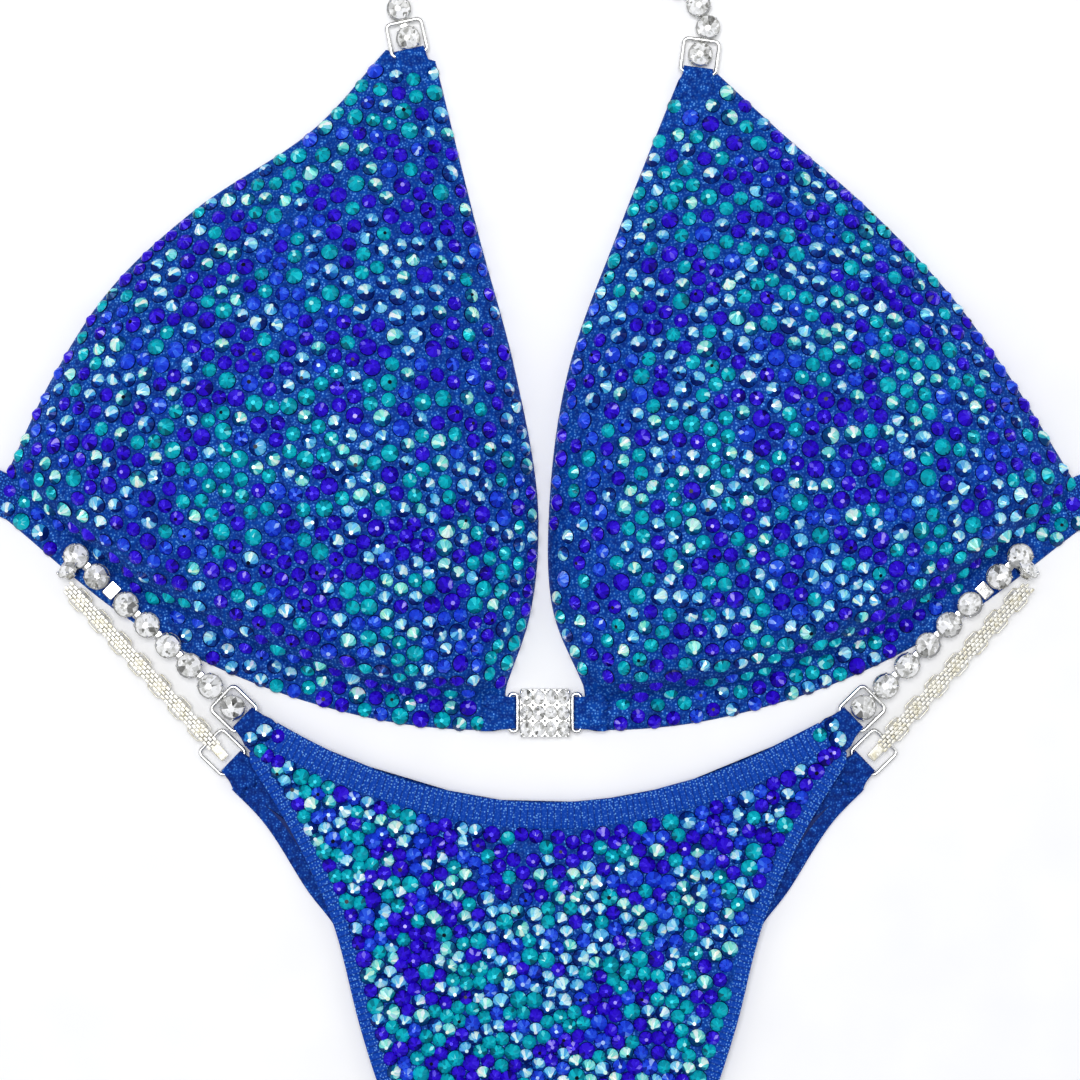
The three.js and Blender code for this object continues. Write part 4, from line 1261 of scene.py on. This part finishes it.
panels = {
    "front": {
        "scoop": 28.6, "middle": 0, "hip": hip_corner(0, 0), "low": 3.5, "high": 4.7, "set_back": 7.1,
        "leg": [
            [0.87, -0.035],
            [0.79, -0.122],
            [0.71, -0.227],
            [0.625, -0.41],
            [0.563, -0.52],
            [0.467, -0.66],
            [0.367, -0.79],
            [0.29, -0.9]
        ],
    },
    "back": {
        "scoop": 40, "middle": -28, "hip": hip_corner(
            -BACK_SET, HIP_SPREAD
        ), "low": 0.05, "high": 1.1, "set_back": 4.5,
        "leg": [
            [0.945, -0.04],
            [0.8, -0.165],
            [0.7, -0.24],
            [0.61, -0.37],
            [0.53, -0.52],
            [0.43, -0.68],
            [0.33, -0.83],
            [0.27, -0.93]
        ],
    },
}
across_tail = np.array([math.sin(HIP_HEADING), -math.cos(HIP_HEADING)]) * HIP_TAIL_WIDTH / 2
along_hip = np.array([math.cos(HIP_HEADING), math.sin(HIP_HEADING)])
for name, panel in panels.items():
    set_back = panel["set_back"] * along_hip
    top = panel["hip"] - across_tail - set_back
    corner = panel["hip"] + across_tail - set_back
    leg = smooth_line(
        [
            panel["hip"] + across_tail,
            *[(u * HIP_HALF, v * PANEL_DROP) for u, v in panel["leg"]],
            (CROTCH_HALF, -PANEL_DROP)
        ],
        200
    )
    leg = leg[leg[:, 0] < corner[0]] if name == "front" else leg[5:]
    panel["leg_line"] = spaced(np.vstack([corner, leg]), 120)
    panel["side_line"] = spaced(np.vstack([spaced([top, corner], 12), leg]), 150)
    panel["waist_share"] = top[0]


def panel_grid(panel, columns=81, inset=0.0, start=0):
    """Points in plan, rows from waist to crotch and columns from left to right. Each row ends on the side
    lines and sags in the middle by the waist's scoop, which fades towards the crotch. An inset moves
    the sides in, and start leaves out that many rows at the waist."""
    side = panel["side_line"].copy()
    share = np.linspace(-1, 1, columns)
    t = np.linspace(0, 1, len(side))
    scoop = (side[0, 1] - panel["middle"]) * (1 - t) ** 1.6
    x = np.maximum(side[:, 0] - inset, 1)[:, None] * share[None, :]
    y = side[:, 1][:, None] - scoop[:, None] * (1 - share[None, :] ** 2)
    return np.stack([x, y], axis=-1)[start:], share, t[start:]


def panel_rise(panel, x, y):
    """How much higher the fabric lies than its lowest level: soft waves, which die away near the hip rings.
    """
    waves = 0.35 * np.sin(
        x / 13 + 0.6 * np.sin(y / 21)
    ) * np.sin(y / 17 + 1.1) + 0.15 * np.sin(x / 5.3 + y / 7.1)
    near = np.hypot(np.abs(x) - panel["hip"][0], y - panel["hip"][1])
    return waves * smoothstep(10, 30, near)


def laid_panel(name, panel, low, high, surface, inset=0.0, start=0):
    """A closed layer of fabric over the whole panel."""
    plan, share, t = panel_grid(panel, inset=inset, start=start)
    rise = panel_rise(panel, plan[..., 0], plan[..., 1])
    rise = rise - rise.min() if high < 3 else np.maximum(rise, -0.25)
    edge = np.minimum.reduce([
        np.broadcast_to((1 - np.abs(share)) * 30, rise.shape), np.broadcast_to(t[:, None] * 60, rise.shape),
        np.broadcast_to((1 - t[:, None]) * 60, rise.shape),
    ])
    roll = np.sqrt(np.clip(edge / 0.9, 0, 1))
    middle, half = (low + high) / 2, (high - low) / 2
    upper = np.concatenate([plan, (middle + rise + half * (0.35 + 0.65 * roll))[..., None]], axis=-1)
    lower = np.concatenate([plan, (middle + rise - half * (0.35 + 0.65 * roll))[..., None]], axis=-1)
    ring = np.concatenate([upper, lower[:, ::-1]], axis=1)
    points = ring.reshape(-1, 3) + [*PANEL_MIDDLE, 0]
    # Rows run down the panel and each ring goes right over the top and left underneath.
    return new_piece(name, points, [f[::-1] for f in tube_faces(len(plan), ring.shape[1])], surface), plan


def plan_line(plan):
    """The outline of a grid in plan."""
    return np.vstack([plan[0], plan[1:, -1], plan[-1, ::-1][1:], plan[1:-1, 0][::-1]])


for name, panel in panels.items():
    surface = foil_knit if name == "front" else plain_knit
    sheet, plan = laid_panel(f"{name}_fabric", panel, panel["low"], panel["high"], surface)
    panel["outline"] = plan_line(plan)
    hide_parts(f"{name}_panel")
    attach(sheet, "bottom")
    size = np.ptp(panel["outline"], axis=0) / 1000
    low = 2.9 if name == "front" else 1.3
    inside, plan = laid_panel(
        f"{name}_inside", panel, low + 0.02, low + 0.45, lining_navy, inset=5.5, start=14
    )
    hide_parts(f"{name}_lining")
    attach(inside, "bottom")
    outline = plan_line(plan)

# Cotton-faced gusset between the linings, and the crotch seam through all layers.
half = CROTCH_HALF - 5.3
rows = np.linspace(-PANEL_DROP + 0.5, -0.62 * PANEL_DROP, 30)
width = np.interp(rows, [-PANEL_DROP, -0.8 * PANEL_DROP, -0.62 * PANEL_DROP], [half, 1.15 * half, 0.9 * half])
edges = [np.stack([k * width, rows], axis=1) + PANEL_MIDDLE for k in (1, -1)]
gusset = band_piece("gusset_cloth", edges[1], edges[0], 2.12, 2.55, lining_navy)
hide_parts("gusset")
columns = np.linspace(-CROTCH_HALF, CROTCH_HALF, 60)
edges = [
    np.stack([columns, np.full(60, y)], axis=1) + PANEL_MIDDLE for y in (-PANEL_DROP - 4, -PANEL_DROP + 0.2)
]
seam = band_piece(
    "crotch_seam_fold", edges[0], edges[1], 0.05, 4.5 + 0.12 * np.sin(columns * 2.4)[:, None], plain_knit
)
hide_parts("crotch_seam")
for piece in (gusset, seam):
    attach(piece, "bottom")

# ------------------------------------------------------------------ hems of the bottom
# The knit is turned over clear elastic and caught down with a fine zigzag, which shows as faint
# ticks; the waist hem is left without stones.
hem_knit, tree, shader = material("foil-dotted knit hem with zigzag ticks")
where = add(tree, "ShaderNodeUVMap")
mm = add(tree, "ShaderNodeVectorMath", {"operation": "SCALE", "Scale": 1000}, {0: where.outputs[0]})
parts_of = add(tree, "ShaderNodeSeparateXYZ", links={0: mm.outputs[0]})
tick = add(
    tree, "ShaderNodeTexWave", {"Scale": 0.157, "Distortion": 1.2, "Detail": 1}, {"Vector": mm.outputs[0]}
)
ticks = add(
    tree,
    "ShaderNodeMapRange",
    {"From Min": 0.8, "From Max": 1.0, "To Max": 0.5},
    {"Value": tick.outputs["Fac"]}
)
speckle = add(
    tree,
    "ShaderNodeTexVoronoi",
    {"voronoi_dimensions": "2D", "Scale": 1.1, "Randomness": 0.75},
    {"Vector": mm.outputs[0]}
)
dot = add(
    tree, "ShaderNodeMapRange", {"From Min": 0.3, "From Max": 0.16}, {"Value": speckle.outputs["Distance"]}
)
patch = add(tree, "ShaderNodeTexNoise", {"Scale": 0.6, "Detail": 2}, {"Vector": mm.outputs[0]})
seen = add(
    tree,
    "ShaderNodeMapRange",
    {"From Min": 0.46, "From Max": 0.6, "To Min": 0.1},
    {"Value": patch.outputs["Fac"]}
)
edge_row = add(
    tree,
    "ShaderNodeMapRange",
    {"From Min": 2.2, "From Max": 0.8, "To Max": 0.9},
    {"Value": parts_of.outputs["Y"]}
)
share = add(tree, "ShaderNodeMath", {"operation": "MAXIMUM"}, {0: seen.outputs[0], 1: edge_row.outputs[0]})
mask = add(tree, "ShaderNodeMath", {"operation": "MULTIPLY"}, {0: dot.outputs[0], 1: share.outputs[0]})
cloth = ramp(tree, ticks.outputs[0], [(0.0, "#0A40A8"), (0.5, "#082F84")])
mixed = add(tree, "ShaderNodeMix", {"data_type": "RGBA"}, {"Factor": mask.outputs[0], 6: cloth})
mixed.inputs[7].default_value = linear("#6CA8EC")
tree.links.new(mixed.outputs[2], shader.inputs["Base Color"])
bump = add(tree, "ShaderNodeBump", {"Strength": 0.5, "Distance": 0.0004}, {"Height": tick.outputs["Fac"]})
tree.links.new(bump.outputs[0], shader.inputs["Normal"])
shader.inputs["Roughness"].default_value = 0.55
shader.inputs["Specular IOR Level"].default_value = 0.05


def beside(line, distance):
    """A line moved to its left."""
    ahead = np.gradient(line, axis=0)
    ahead = ahead / np.linalg.norm(ahead, axis=1)[:, None]
    return line + distance * np.stack([-ahead[:, 1], ahead[:, 0]], axis=1)


for name, panel in panels.items():
    grid, _, _ = panel_grid(panel, 161)
    waist = spaced(grid[0], 220)
    inner = beside(waist, -HEM_WIDTH)
    lift = 0.35 if name == "front" else 0.3
    rise = panel_rise(panel, waist[:, 0], waist[:, 1])[:, None]
    rise = np.maximum(rise, -0.25) if name == "front" else rise * 0
    ripple = 0.05 * np.sin(np.linspace(0, 330, 220))[:, None]
    hem = band_piece(
        f"{name}_waist_elastic", waist + PANEL_MIDDLE, inner + PANEL_MIDDLE,
        panel["low"] + rise, panel["high"] + lift + rise + ripple, hem_knit,
    )
    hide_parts(f"{name}_waist_hem")
    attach(hem, "bottom")
    for side, sign in SIDES.items():
        leg = spaced(panel["leg_line"], 200) * [sign, 1]
        inner = beside(leg, -LEG_WIDTH * sign)
        pair = (leg, inner) if sign > 0 else (inner, leg)
        rise = panel_rise(panel, leg[:, 0], leg[:, 1])[:, None]
        rise = np.maximum(rise, -0.25) if name == "front" else rise * 0
        band = band_piece(
            f"{name}_leg_elastic_{side}", pair[0] + PANEL_MIDDLE, pair[1] + PANEL_MIDDLE,
            panel["low"] + rise, panel["high"] + 0.22 + rise, hem_knit,
        )
        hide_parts(f"{name}_leg_hem_{side}")
        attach(band, "bottom")

# ------------------------------------------------------------------ hip folds
# The panel's corner gathered into a fold over each hip ring, left bare but for a few stones.
rng = np.random.default_rng(11)
for side in SIDES:
    for layer in ("front", "back"):
        place, heading = bar_frame(f"{side}_{layer}_ring_swing")
        fold = fold_piece(
            f"{side}_{layer}_hip_fold",
            place,
            heading,
            RING_SLEEVE["hip"],
            HIP_TAIL,
            HIP_TAIL_WIDTH - 1,
            rng,
            plain_knit
        )
        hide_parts(f"{side}_{layer}_hip_casing")
        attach(fold, "bottom")
    # Four stones stand on the front fold, past its bare end.
    place, heading = bar_frame(f"{side}_front_ring_swing")
    seats = in_plan(
        place, heading, np.array([(-4.6, 2.9, 0.95), (-6.3, -1.4, 0.85), (-9.3, 3.3, 0.9), (-9.9, -3.4, 0.9)])
    )
    kinds = np.array(["coated", "coated", "teal", "violet"])
    stone_piece(
        f"{side}_hip_fold_stones",
        seats,
        np.array([[0.0, 0.05, 1.0]] * 4),
        np.array([2.1, 2.5, 2.1, 2.1]),
        kinds,
        "bottom",
        rng
    )

# ------------------------------------------------------------------ stones on the front panel
# The first row follows the waist hem, and the rest fill the panel down to the crotch.
rng = np.random.default_rng(51)
PANEL_STONES = 850
panel = panels["front"]
grid, share, t = panel_grid(panel, 121)
waist_inner = beside(spaced(grid[0], 160), -HEM_WIDTH)
leg_inner = beside(spaced(panel["leg_line"], 160), -LEG_WIDTH + 0.6)
right = leg_inner[leg_inner[:, 1] < waist_inner[-1, 1]]
right = right[right[:, 0] > 5]
waist_inner = waist_inner[np.abs(waist_inner[:, 0]) < right[0, 0] - 1]
left = (right * [-1, 1])[::-1]
region = spaced(np.vstack([waist_inner, right, left, waist_inner[:1]]), 281)[:-1]
points, radii = scatter(region, PANEL_STONES, 2.0, rng)
x, y = points.T
rise = np.maximum(panel_rise(panel, x, y), -0.25)
places = np.stack([x, y, panel["high"] + rise - 0.08], axis=1) + [*PANEL_MIDDLE, 0]
normals = rng.normal(0, 0.07, places.shape) * [1, 1, 0] + [0, 0, 1]
stone_piece("front_panel_stones", places, normals, radii, drifts(points, rng), "bottom", rng)
